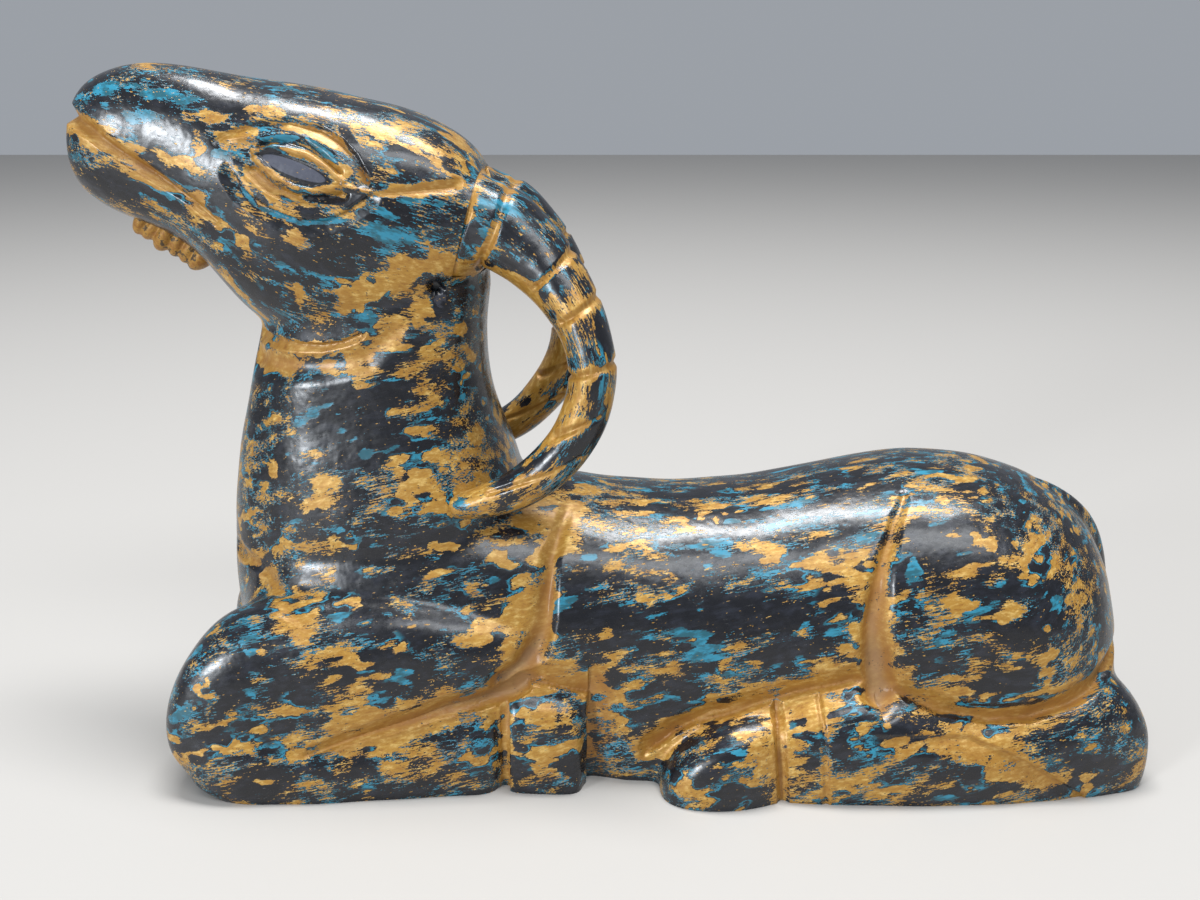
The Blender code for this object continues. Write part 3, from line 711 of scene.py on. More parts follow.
# The rump's flow starts to fall between these lengths, above these heights.
RUMP_LENGTHS = (112, 168)
RUMP_HEIGHTS = (18, 60)


def turned(along, up, pivot, turn):
    """Places turned about a pivot, each by its own angle."""
    x = along - pivot[0]
    z = up - pivot[1]
    cosine = np.cos(turn)
    sine = np.sin(turn)
    return pivot[0] + x * cosine - z * sine, pivot[1] + z * cosine + x * sine


def flow_of_body(places):
    """Pattern places that turn with the head, climb along the flank and fall over the rump."""
    x, z = places[:, 0], places[:, 2]
    fall = ease(x, *RUMP_LENGTHS) * ease(z, *RUMP_HEIGHTS) * RUMP_TURN
    along, up = turned(x, z, RUMP_PIVOT, fall)
    along, up = turned(along, up, HEAD_PIVOT, ease(z, *HEAD_HEIGHTS) * (HEAD_TURN - BODY_TURN))
    along, up = turned(along, up, HEAD_PIVOT, BODY_TURN)
    return np.stack([along, places[:, 1], up], axis=1)


def store(mesh, name, values):
    """Keeps one number or one vector for each point, under this name."""
    kind = "FLOAT_VECTOR" if values.ndim == 2 else "FLOAT"
    attribute = mesh.attributes.new(name, kind, "POINT")
    field = "vector" if values.ndim == 2 else "value"
    attribute.data.foreach_set(field, values.astype(np.float32).ravel())


def read_mark(mesh, name):
    """The values that a mesh keeps under this name."""
    attribute = mesh.attributes[name]
    wide = attribute.data_type == "FLOAT_VECTOR"
    values = np.empty(len(attribute.data) * (3 if wide else 1), np.float32)
    attribute.data.foreach_get("vector" if wide else "value", values)
    return values.reshape(-1, 3) if wide else values


print("the head's flow turns by", round(math.degrees(HEAD_TURN)), "degrees")

# %% [markdown]
# ## Where the brush landed
# Most of the pattern can be left to chance, but a few strokes are what one remembers of a piece:
# the gold below the horns' tips, the dark cheek, the strokes over the eye. Each is an oval laid on
# the side of the figure. A positive number brings more of that layer through, a negative one
# keeps it away. The right side gets the same strokes a little shifted, as by the same hand.

# %% Listed strokes
# (x, z, half length, half height, tilt in degrees, gold, teal)
STROKES = (
    # The head: gold.
    (-109, 216, 6.5, 2.4, -4, 0.32, -0.2),
    (-127, 215, 8.5, 1.9, 2, 0.30, -0.2),
    (-129, 206.5, 3.4, 2.6, -40, 0.28, -0.2),
    (-117.5, 210.0, 6.5, 2.1, 10, 0.50, -0.3),
    (-86, 201.0, 4.0, 2.0, -38, 0.40, -0.3),
    (-63, 194.2, 12, 1.8, 5, 0.40, -0.3),
    (-96, 210.8, 7.0, 1.1, -16, 0.34, -0.3),
    (-99, 179, 5.0, 2.6, -25, 0.30, -0.2),
    (-117, 178, 3.4, 2.0, -30, 0.22, -0.2),
    (-101, 161, 5.4, 1.3, 86, 0.32, -0.2),
    (-84, 161, 5.0, 4.4, 30, 0.30, -0.2),
    (-70, 168, 11, 4.6, 32, 0.36, -0.2),
    (-100, 143.4, 14, 2.2, 2, 0.34, -0.3),
    (-58, 171.0, 8.0, 3.0, 14, 0.45, -0.3),
    (-47, 169.5, 7.0, 3.0, -8, 0.45, -0.3),
    (-73, 152, 9, 3.0, 6, 0.06, 0.02),
    (-63, 158, 4, 6.0, 0, 0.19, -0.2),
    (-96, 137.6, 24, 2.6, 0, 0.17, -0.1),
    (-66, 141, 12, 3.0, 4, 0.07, -0.05),
    (-73, 210, 4.6, 2.0, -20, 0.28, -0.2),
    (-138, 202, 4.8, 1.8, -25, 0.25, -0.2),
    (-60, 203, 12, 1.6, -32, 0.22, -0.1),
    (-112, 195.5, 3.6, 2.4, -50, 0.22, -0.2),
    # The head: teal.
    (-136, 221, 11, 2.2, -4, -0.1, 0.20),
    (-159, 223, 4.2, 2.2, 10, -0.1, 0.20),
    (-146, 214, 8, 1.8, -10, -0.1, 0.12),
    (-103, 169, 5.5, 2.0, -40, -0.1, 0.18),
    (-122, 204, 3.4, 1.6, -20, -0.1, 0.20),
    (-69, 184, 7, 9.0, -20, -0.1, 0.13),
    (-60, 190.5, 7, 1.3, -5, -0.1, 0.22),
    (-80, 154, 3.2, 3.0, 20, -0.1, 0.22),
    (-103.5, 208.8, 6.0, 1.1, 3, -0.60, 0.40),
    (-91, 205.6, 7.0, 1.1, -38, -0.60, 0.40),
    (-114.0, 191.8, 4.2, 1.0, -52, -0.60, 0.40),
    (-105, 186.6, 6.5, 1.0, -18, -0.60, 0.40),
    (-91.5, 184.6, 7.5, 1.0, 4, -0.60, 0.40),
    (-115, 156, 5, 2.4, -55, -0.1, 0.12),
    # The head: kept black.
    (-86, 176, 13, 8, -20, -0.20, -0.12),
    # The eyeball: marked far below any gold, so it takes the grey painted sheen.
    (-99.4, 200.2, 11.2, 2.5, -20, -0.90, -0.60),
    (-80.6, 205.5, 8.5, 1.7, -56, -0.60, -0.30),
    (-90.5, 191.0, 7.0, 1.2, -4, -0.40, -0.20),
    (-110.5, 192.6, 4.2, 1.3, -48, -0.30, -0.20),
    (-152, 212, 10, 5, -18, -0.14, -0.05),
    (-169, 223, 9, 6, 0, -0.15, 0.04),
    (-168, 211, 9, 4, -35, 0.22, -0.2),
    (-152, 228, 18, 4, -2, -0.08, 0.04),
    (-150, 188, 16, 4, -32, 0.07, 0),
    (-136, 209, 9, 4, -18, -0.14, -0.05),
    (-66, 204, 9, 4, -28, -0.14, -0.05),
    (-124, 193, 5, 9, 0, -0.12, -0.05),
    (-110, 168, 4, 8, 30, -0.08, 0),
    # The pit under the horn's root: marked dark enough to take some of the eyeball's grey painted sheen.
    (-57.2, 160.0, 2.4, 4.4, 10, -0.70, -0.3),
    # The neck.
    (-96, 128, 10, 16, 0, -0.26, 0.04),
    (-84, 118, 9, 14, 10, -0.14, 0),
    (-53, 143, 2.8, 15, 4, 0.17, -0.1),
    (-62, 126, 5, 9, 10, 0.08, 0),
    (-108, 104, 3.6, 10, 0, -0.20, 0),
    # The shoulder and the chest.
    (-60, 100, 13, 9, 20, 0.16, -0.1),
    (-25, 89, 12, 5, -8, 0.12, -0.1),
    (-94, 102, 5, 2.2, -5, 0.25, -0.2),
    (-89, 83, 5.5, 2.4, -5, 0.25, -0.2),
    (-88, 65, 5, 2.2, 5, 0.24, -0.2),
    (-59, 82, 5, 2.4, -10, 0.24, -0.2),
    (-39, 77, 5.5, 2.6, -20, 0.26, -0.2),
    (-48, 55, 8, 3.0, 25, 0.24, -0.2),
    (-25, 22, 11, 12, 0, 0.12, 0),
    (-62, 25, 26, 3.2, 14, 0.20, -0.1),
    (-133, 38, 2.6, 6, 10, 0.30, -0.2),
    (-124, 20, 7, 2.2, -10, 0.24, -0.1),
    (47, 19, 9, 11, 0, 0.12, 0),
    (70, 31, 15, 4.0, 0, 0.15, -0.1),
    (104, 22, 22, 4.0, -6, 0.14, -0.1),
    (92, 8, 26, 3.0, 0, 0.12, 0),
    (-23, 82, 7, 12, 14, 0.10, 0.0),
    (-26, 60, 8, 14, -8, 0.08, 0.03),
    (81, 60, 8, 18, 6, 0.06, 0.06),
    (84, 47, 13, 7, 0, 0.08, -0.05),
    (-124, 100, 3.0, 26, -3, 0.12, -0.1),
    (-75, 31, 24, 3.0, 12, 0.16, -0.1),
    (-78, 72, 15, 8, 15, -0.16, -0.05),
    # The flank and the haunch.
    (9, 66, 5.6, 2.6, -5, 0.27, -0.2),
    (27, 88, 9, 2.2, -8, 0.25, -0.2),
    (45, 79, 8, 2.4, -10, 0.25, -0.2),
    (81, 52, 6, 8, 80, 0.22, -0.2),
    (108, 67, 5.5, 2.8, -12, 0.30, -0.2),
    (124, 64, 4.6, 2.6, 10, 0.30, -0.2),
    (137, 49, 3.0, 6.5, -10, 0.28, -0.2),
    (131, 80, 2.4, 4.6, -20, 0.30, -0.2),
    (147, 66, 2.2, 5.0, 0, 0.28, -0.2),
    (116, 84, 4.6, 2.2, -30, 0.26, -0.2),
    (94, 72, 3, 9, 8, -0.1, 0.22),
    (40, 60, 16, 8, -5, -0.12, -0.06),
    (116, 62, 32, 28, 0, 0.035, 0.0),
    (-92, 14, 50, 16, 0, 0.06, -0.06),
    (110, 14, 55, 14, 0, 0.0, -0.08),
    (28, 88, 44, 8, 0, -0.03, 0.06),
    (30, 84, 12, 4, -8, -0.06, 0.08),
    (112, 50, 12, 6, 0, -0.10, -0.04),
)
STROKE_SHIFT = (3, -2)
# A gold stroke's outline wanders by this share of its half height.
STROKE_WANDER = 0.55
WANDER_LENGTH = 6
WANDER_SEEDS = (12, 13)
STROKE_FACING = (0.1, 0.4)
# How steeply a stroke grows across its outline, where it has half its strength.
STROKE_STEEPNESS = 1.6


def strokes(places, normals):
    """How much more gold and teal each point gets from the listed strokes."""
    sideways = ease(np.abs(normals[:, 1]), *STROKE_FACING)
    spots = places[:, [0, 2]].copy()
    spots[normals[:, 1] > 0] += STROKE_SHIFT
    along_and_up = [waves(places, WANDER_LENGTH, seed) for seed in WANDER_SEEDS]
    wander = np.stack(along_and_up, axis=1) * STROKE_WANDER
    gold, teal = np.zeros((2, len(places)))
    for x, z, half_length, half_height, tilt, more_gold, more_teal in STROKES:
        laid = spots + wander * half_height if more_gold > 0 else spots
        oval = inside_oval(laid, (x, z), half_length, half_height, math.radians(tilt))
        share = np.clip(oval * STROKE_STEEPNESS + 0.5, 0, 1) * sideways
        gold += share * more_gold
        teal += share * more_teal
    return gold, teal


skin_gold, skin_teal = strokes(point_array(skin), normal_array(skin))
print(len(STROKES), "strokes laid on each side")

# %% [markdown]
# ## Parting into blanks
# The real glue planes are flat saw cuts: under the jaw, across the shoulders, and beside each
# leg. Prisms drawn on the same planes cut the skin into the head, the neck, the trunk and four
# legs. They meet exactly, since lacquer hides the glue lines.

# %% Cut the blanks
NECK_SEAT = 84
NECK_REAR = -18
LEG_INNER = 30
LEG_OUTER = 90
WIDE = 95
ABOVE = ((-250, NECK_SEAT), (NECK_REAR, NECK_SEAT), (NECK_REAR, 165.2), (NECK_REAR, 260), (-250, 260))
BLANKS = {
    "head": ((-190, 132.9), (-38, 161.5), (-38, 166.5), (-53.3, 166.5), (-32.7, 240), (-190, 240)),
    "neck": ((-190, NECK_SEAT), (NECK_REAR, NECK_SEAT), (NECK_REAR, 165.2), (-190, 132.9)),
    "foreleg": ((-190, -20), (-11.3, -20), (-11.3, 43), (-190, 68.5)),
    "hindleg": ((10.5, -20), (200, -20), (200, 34), (10.5, 34)),
}
GROUND = ((-250, 0), (250, 0), (250, -60), (-250, -60))
CROWN_BLOCK = ((-120, 120), (-66.4, 120), (-32.7, 240), (-120, 240))


def prism(outline, near, far):
    """A solid on an (x, z) outline from near to far along Y, as a cutter."""
    shape = bmesh.new()
    walls = [[shape.verts.new(Vector((x, y, z)) * UNIT) for x, z in outline] for y in (near, far)]
    for index in range(len(outline)):
        after = (index + 1) % len(outline)
        shape.faces.new((walls[0][index], walls[0][after], walls[1][after], walls[1][index]))
    shape.faces.new(walls[0])
    shape.faces.new(walls[1])
    bmesh.ops.recalc_face_normals(shape, faces=shape.faces)
    mesh = bpy.data.meshes.new("prism")
    shape.to_mesh(mesh)
    shape.free()
    return put("prism", mesh, workshop)


def cut_with(mesh, cutter, operation):
    """The mesh cut by one prism, which is then removed."""
    obj = put("work", mesh, workshop)
    cut = obj.modifiers.new("cut", "BOOLEAN")
    cut.object = cutter
    cut.operation = operation
    cut.solver = "MANIFOLD"
    result = plain_mesh(obj, "work")
    bpy.data.objects.remove(cutter)
    return result


def leg_span(side):
    """The lower and upper y of a leg's blank."""
    return sorted((side * LEG_INNER, side * LEG_OUTER))


standing = cut_with(skin.copy(), prism(GROUND, -WIDE, WIDE), "DIFFERENCE")
blanks = {blank_name: cut_with(standing.copy(), prism(BLANKS[blank_name], -WIDE, WIDE), "INTERSECT")
          for blank_name in ("head", "neck")}
trunk = cut_with(standing.copy(), prism(ABOVE, -WIDE, WIDE), "DIFFERENCE")
for side_name, side in SIDES.items():
    near, far = leg_span(side)
    for leg_name in ("foreleg", "hindleg"):
        trunk = cut_with(trunk, prism(BLANKS[leg_name], near, far), "DIFFERENCE")
        leg = cut_with(standing.copy(), prism(BLANKS[leg_name], near, far), "INTERSECT")
        blanks[f"{leg_name}_{side_name}"] = leg
blanks["trunk"] = trunk
for blank_name, mesh in blanks.items():
    print(blank_name, len(mesh.polygons), "faces")

# %% Marks on each blank
SKIN_MARKS = {"cut": cut_depth, "strays": stray_gold, "gilt": skin_gold, "tint": skin_teal}


def tree_of_points(mesh):
    """A search tree of the mesh's points."""
    tree = kdtree.KDTree(len(mesh.vertices))
    for index, place in enumerate(point_array(mesh)):
        tree.insert(place, index)
    tree.balance()
    return tree


def nearest_points(mesh, tree):
    """For each point of a mesh, the number of the nearest point in the tree."""
    return [tree.find(place)[1] for place in point_array(mesh)]


skin_tree = tree_of_points(skin)
for mesh in blanks.values():
    nearest = nearest_points(mesh, skin_tree)
    store(mesh, "flow", flow_of_body(point_array(mesh)))
    for label, values in SKIN_MARKS.items():
        store(mesh, label, values[nearest])
print("marks stored on", len(blanks), "blanks")

# %% [markdown]
# ## Horns that follow a path
# Each horn is carved from its own curved blank: an oval section that shrinks as it sweeps back
# and down to the shoulder. Geometry Nodes suit this, since the shape follows a rule: a grid is
# bent so that its rows ride along a smooth curve through the stations and its columns run round
# the section. The same tree then serves both horns, and their lengths can change without
# touching it.

# %% The sweeping tree
HORN_RINGS = 330
HORN_SIDES = 96
# A form made by subdivision keeps this share of its stations' size.
SOFTENED = 0.955
# The closing points lie this far beyond the first and the last station.
TIP_CLOSING = 0.6
PATH_STEPS = 24
DOUBLES = 0.00001


class Bench:
    """A node tree on the bench, with one way to add a node and link it."""

    def __init__(self, tree):
        self.tree = tree

    def add(self, kind, settings, values):
        """Adds a node, sets it up first and then fills its sockets. Returns the node."""
        node = self.tree.nodes.new(kind)
        stops = settings.pop("stops", None)
        for setting, value in settings.items():
            setattr(node, setting, value)
        if stops:
            while len(node.color_ramp.elements) < len(stops):
                node.color_ramp.elements.new(1)
            for element, (position, colour) in zip(node.color_ramp.elements, stops):
                element.position = position
                element.color = colour
        for socket, value in values.items():
            self.fill(node.inputs[socket], value)
        return node

    def fill(self, socket, value):
        """Links a signal to a socket, or sets the socket to a plain value."""
        if isinstance(value, Signal):
            self.tree.links.new(value.socket, socket)
        elif isinstance(value, bpy.types.NodeSocket):
            self.tree.links.new(value, socket)
        else:
            socket.default_value = value


class Signal:
    """A number flowing out of a socket, so that node maths reads as an expression."""

    def __init__(self, bench, socket):
        self.bench = bench
        self.socket = socket

    def maths(self, operation, first, second=0.0):
        node = self.bench.add("ShaderNodeMath", {"operation": operation}, {0: first, 1: second})
        return Signal(self.bench, node.outputs[0])

    def __add__(self, other):
        return self.maths("ADD", self, other)

    def __radd__(self, other):
        return self.maths("ADD", other, self)

    def __sub__(self, other):
        return self.maths("SUBTRACT", self, other)

    def __rsub__(self, other):
        return self.maths("SUBTRACT", other, self)

    def __mul__(self, other):
        return self.maths("MULTIPLY", self, other)

    def __rmul__(self, other):
        return self.maths("MULTIPLY", other, self)

    def cosine(self):
        return self.maths("COSINE", self)

    def sine(self):
        return self.maths("SINE", self)

    def largest(self, other):
        return self.maths("MAXIMUM", self, other)

    def rise(self, low, high):
        """0 below low, 1 above high, smooth between."""
        settings = {"interpolation_type": "SMOOTHSTEP", "clamp": True}
        node = self.bench.add("ShaderNodeMapRange", settings,
                              {"Value": self, "From Min": low, "From Max": high})
        return Signal(self.bench, node.outputs[0])


def vector_maths(bench, operation, first, second):
    """The vector socket of one Vector Math node."""
    node = bench.add("ShaderNodeVectorMath", {"operation": operation}, {0: first, 1: second})
    return node.outputs[0]


def scaled(bench, vector, share):
    """A vector times a number."""
    values = {0: vector, "Scale": share}
    return bench.add("ShaderNodeVectorMath", {"operation": "SCALE"}, values).outputs[0]


def sampled(bench, path, factor, name):
    """A Sample Curve node that reads one named number along the path."""
    number = bench.add("GeometryNodeInputNamedAttribute", {"data_type": "FLOAT"}, {"Name": name})
    settings = {"mode": "FACTOR", "data_type": "FLOAT"}
    values = {"Curves": path, "Value": number.outputs[0], "Factor": factor}
    return bench.add("GeometryNodeSampleCurve", settings, values)


def sweeping_tree():
    """A tree that sweeps an oval section along a line of stations."""
    tree = bpy.data.node_groups.new("sweep_along_stations", "GeometryNodeTree")
    face = tree.interface
    face.new_socket("Stations", in_out="INPUT", socket_type="NodeSocketGeometry")
    for name in ("Rings", "Sides"):
        face.new_socket(name, in_out="INPUT", socket_type="NodeSocketInt")
    face.new_socket("Size share", in_out="INPUT", socket_type="NodeSocketFloat")
    face.new_socket("Finish", in_out="INPUT", socket_type="NodeSocketMaterial")
    face.new_socket("Limb", in_out="OUTPUT", socket_type="NodeSocketGeometry")
    bench = Bench(tree)
    given = bench.add("NodeGroupInput", {}, {}).outputs
    line = bench.add("GeometryNodeMeshToCurve", {}, {"Mesh": given["Stations"]}).outputs[0]
    settings = {"spline_type": "CATMULL_ROM"}
    path = bench.add("GeometryNodeCurveSplineType", settings, {"Curve": line}).outputs[0]
    values = {"Geometry": path, "Resolution": PATH_STEPS}
    path = bench.add("GeometryNodeSetSplineResolution", {}, values).outputs[0]
    around = Signal(bench, given["Sides"]) + 1
    values = {"Size X": 1.0, "Size Y": 1.0, "Vertices X": given["Rings"], "Vertices Y": around}
    grid = bench.add("GeometryNodeMeshGrid", {}, values).outputs["Mesh"]
    place = bench.add("GeometryNodeInputPosition", {}, {}).outputs[0]
    parts = bench.add("ShaderNodeSeparateXYZ", {}, {0: place}).outputs
    along = Signal(bench, parts["X"]) + 0.5
    angle = (Signal(bench, parts["Y"]) + 0.5) * (2 * math.pi)
    tall = sampled(bench, path, along, "tall")
    wide = sampled(bench, path, along, "wide")
    across = vector_maths(bench, "CROSS_PRODUCT", tall.outputs["Tangent"], (0, 1, 0))
    across = vector_maths(bench, "NORMALIZE", across, (0, 0, 0))
    sideways = vector_maths(bench, "CROSS_PRODUCT", across, tall.outputs["Tangent"])
    size = Signal(bench, given["Size share"])
    up = Signal(bench, tall.outputs[0]) * size * angle.sine()
    out = Signal(bench, wide.outputs[0]) * size * angle.cosine()
    offset = vector_maths(bench, "ADD", scaled(bench, across, up), scaled(bench, sideways, out))
    target = vector_maths(bench, "ADD", tall.outputs["Position"], offset)
    length = Signal(bench, bench.add("GeometryNodeCurveLength", {}, {"Curve": path}).outputs[0])
    flow = bench.add("ShaderNodeCombineXYZ", {}, {"X": along * length, "Y": out, "Z": up}).outputs[0]
    values = {"Geometry": grid, "Name": "flow", "Value": flow}
    marked = bench.add("GeometryNodeStoreNamedAttribute", {"data_type": "FLOAT_VECTOR"}, values).outputs[0]
    bent = bench.add("GeometryNodeSetPosition", {}, {"Geometry": marked, "Position": target}).outputs[0]
    values = {"Geometry": bent, "Distance": DOUBLES}
    closed = bench.add("GeometryNodeMergeByDistance", {}, values).outputs[0]
    real = bench.add("GeometryNodeRealizeInstances", {}, {"Geometry": closed}).outputs[0]
    values = {"Geometry": real, "Material": given["Finish"]}
    finished = bench.add("GeometryNodeSetMaterial", {}, values).outputs[0]
    bench.add("NodeGroupOutput", {}, {"Limb": finished})
    return tree


def set_inputs(modifier, values):
    """Sets a tree's inputs by their sockets' identifiers."""
    for item in modifier.node_group.interface.items_tree:
        if item.item_type == "SOCKET" and item.name in values:
            modifier[item.identifier] = values[item.name]


sweep_tree = sweeping_tree()
print("sweeping tree has", len(sweep_tree.nodes), "nodes")


# %% Sweep a line of stations
def station_line(name, stations):
    """A line of points that carries each station's half height and half width."""
    mesh = bpy.data.meshes.new(name)
    points = [Vector(station[:3]) * UNIT for station in stations]
    mesh.from_pydata(points, [(i, i + 1) for i in range(len(points) - 1)], [])
    for number, label in ((3, "tall"), (4, "wide")):
        store(mesh, label, np.array([station[number] for station in stations]) * UNIT)
    return mesh


def outward(mesh):
    """Turns all faces outwards."""
    shape = bmesh.new()
    shape.from_mesh(mesh)
    bmesh.ops.recalc_face_normals(shape, faces=shape.faces)
    shape.to_mesh(mesh)
    shape.free()


def closing_station(last, before):
    """A station without thickness, a little beyond the last one."""
    end = Vector(last[:3])
    return (*(end + (end - Vector(before[:3])).normalized() * TIP_CLOSING), 0, 0)


def swept_mesh(name, stations):
    """The plain mesh of a limb swept along its stations, closed at both ends."""
    start = closing_station(stations[0], stations[1])
    end = closing_station(stations[-1], stations[-2])
    obj = put(name, station_line(name, [start, *stations, end]), workshop)
    sweep = obj.modifiers.new("sweep", "NODES")
    sweep.node_group = sweep_tree
    set_inputs(sweep, {"Rings": HORN_RINGS, "Sides": HORN_SIDES, "Size share": SOFTENED})
    mesh = plain_mesh(obj, name)
    outward(mesh)
    return mesh


rough_horns = {side_name: swept_mesh(f"horn_{side_name}", horn_stations(side))
               for side_name, side in SIDES.items()}
print("horn has", len(rough_horns["left"].polygons), "faces")

# %% [markdown]
# ## Rings on the horns
# The carver ran a knife across each horn at seven places and left the cuts oblique and uneven,
# most of them shallower where they run out over the back of the curve. They could be rings of
# their own, but a knife only takes wood away, so they are carved with the body's own helper. The
# root first follows the carved crown, so that the horn leaves the head without a step.

# %% Ring cuts
RING_CUTS = (
    (((-43.6, 202), (-46.5, 190), (-49.5, 180), (-53, 168)), (1.7, 1.4, 0.5), (1.0, 1.0, 0.9), 0.3),
    (((-33.5, 199), (-36.5, 189), (-40, 180), (-45, 169)), (2.4, 2.2, 0.8), (1.4, 1.4, 1.2), 0.3),
    (((-12, 178.5), (-20, 171.5), (-27, 165)), (2.3, 2.1, 1.1), (1.0, 1.0, 1.0), 0.2),
    (((-6, 163.2), (-12, 159.5), (-18.5, 155.3)), (2.0, 1.6, 0.8), (1.2, 1.2, 1.1), 0.2),
    (((0, 143.8), (-8, 141.5), (-19, 138.2)), (1.9, 1.5, 0.9), (1.1, 1.1, 1.0), 0.2),
    (((-7, 127), (-13, 124.6), (-21, 120.8)), (1.1, 1.1, 0.8), (1.7, 1.5, 1.4), 0.2),
    (((-13, 114), (-24, 108.5), (-34, 104.6), (-42, 101.5)), (1.0, 1.0, 0.7), (0.9, 0.9, 0.7), 0.3),
)
print(len(RING_CUTS), "ring cuts on each horn")

# %% Let the root follow the crown
# How far beyond the seam, in pattern units, the horn follows the skin, and where it lets go.
ROOT_REACH = (4, 15)
# Points further than this behind the seam, or lower than this, are left alone.
ROOT_BEHIND = 4
ROOT_LOWEST = 150
skin_shape = bmesh.new()
skin_shape.from_mesh(skin)
skin_surface = BVHTree.FromBMesh(skin_shape)
skin_shape.free()


def join_to_crown(mesh):
    """Lets the horn's root follow the carved skin where it leaves the crown."""
    places = point_array(mesh)
    _, low, high, _ = (np.array(corner, float) for corner in CROWN_BLOCK)
    seam_run = (high - low) / np.linalg.norm(high - low)
    from_seam = (places[:, 0] - low[0]) * seam_run[1] - (places[:, 2] - low[1]) * seam_run[0]
    hold = 1 - ease(from_seam, *ROOT_REACH)
    held = (hold > 0) & (from_seam > -ROOT_BEHIND) & (places[:, 2] > ROOT_LOWEST)
    for index in np.flatnonzero(held):
        found = skin_surface.find_nearest(Vector(places[index]) * UNIT)[0]
        places[index] += (np.array(found) / UNIT - places[index]) * hold[index]
    set_points(mesh, places)


for mesh in rough_horns.values():
    join_to_crown(mesh)
print("roots follow the crown for", ROOT_REACH[1], "pattern units")

# %% Cut the rings and part the horns from the crown
# How far gold strays beside a ring, and how much more of it the ring's floor holds.
RING_SPREAD = 2.0
RING_GOLD = 0.15
HORN_SWELL = 0.7 * TOOL_SWELL
HORN_WAVES = (17, 9)
# More gold on the horn's inner side, its front, its underside near the root, and its tip.
INNER_GOLD = 0.16
INNER_FACING = (0.3, 0.8)
FRONT_GOLD = 0.14
FRONT_FACING = (0.2, 0.8)
ROOT_GOLD = 0.26
UNDER_FACING = (0.2, 0.6)
ROOT_HEIGHTS = (140, 160)
TIP_GOLD = 0.12
TIP_HEIGHTS = (98, 112)


def horn_gold(places, facing, side):
    """How much more gold each point of a horn gets by where it lies and faces."""
    inner = INNER_GOLD * ease(-facing[:, 1] * side, *INNER_FACING)
    front = FRONT_GOLD * ease(-facing[:, 0], *FRONT_FACING)
    root = ROOT_GOLD * ease(-facing[:, 2], *UNDER_FACING) * ease(places[:, 2], *ROOT_HEIGHTS)
    return inner + front + root + TIP_GOLD * (1 - ease(places[:, 2], *TIP_HEIGHTS))


def ring_horn(mesh, side):
    """Cuts the rings, and keeps the marks of the finish on the points."""
    places = point_array(mesh)
    spots = places[:, [0, 2]].copy()
    if side > 0:
        drop = np.clip((TUCK_TOP - places[:, 2]) / (TUCK_TOP - TUCK_BOTTOM), 0, 1)
        spots[:, 0] += RIGHT_HORN_TUCK * drop
    depth, strays = np.zeros((2, len(places)))
    for line, start, end, roundness in RING_CUTS:
        cut, outside = along_line(spots, line, start, end, roundness)
        depth = np.maximum(depth, cut)
        strays = np.maximum(strays, np.clip(1 - outside / RING_SPREAD, 0, 1))
    tool_marks = HORN_SWELL * waves(places, *HORN_WAVES)
    places -= normal_array(mesh) * (depth + tool_marks)[:, None]
    set_points(mesh, places)
    gold = horn_gold(places, normal_array(mesh), side) + RING_GOLD * np.clip(depth * 2, 0, 1)
    store(mesh, "cut", depth)
    store(mesh, "strays", strays)
    store(mesh, "gilt", gold)


horns = {}
for side_name, rough in rough_horns.items():
    ring_horn(rough, SIDES[side_name])
    kept = {label: read_mark(rough, label) for label in ("flow", "cut", "strays", "gilt")}
    kept["flow"] /= UNIT
    horn = cut_with(rough.copy(), prism(CROWN_BLOCK, -WIDE, WIDE), "DIFFERENCE")
    nearest = nearest_points(horn, tree_of_points(rough))
    for label, values in kept.items():
        if label in horn.attributes:
            horn.attributes.remove(horn.attributes[label])
        store(horn, label, values[nearest])
    horns[side_name] = horn
    print("horn", side_name, "has", len(horn.polygons), "faces")

# %% [markdown]
# ## The beard
# Under the chin hangs a short beard, cut as a row of plump tufts. Tufts repeat, so Geometry Nodes
# instance one rounded tuft along a line, each a little turned and sized by a seeded draw, and the
# tree realizes them. A fine wrap then joins the tufts into one piece with soft creases.

# %% Tufts along the chin
BEARD_FRONT = (-155.5, 182.2)
BEARD_BACK = (-137, 170.6)
BEARD_SEAT = ((-170, 192.3), (-126, 167.4), (-110, 200), (-150, 225))
TUFTS = 6
TUFT_SIZE = (3.3, 6.1, 6.5)
# How unevenly the tufts are turned, in radians, and sized, as a share.
UNEVEN_TURN = 0.34
UNEVEN_SIZE = 0.13
TUFT_SEED = 7
TUFT_SEGMENTS = 32
TUFT_ROWS = 20
BEARD_VOXEL = 0.42
BEARD_SANDING = 6


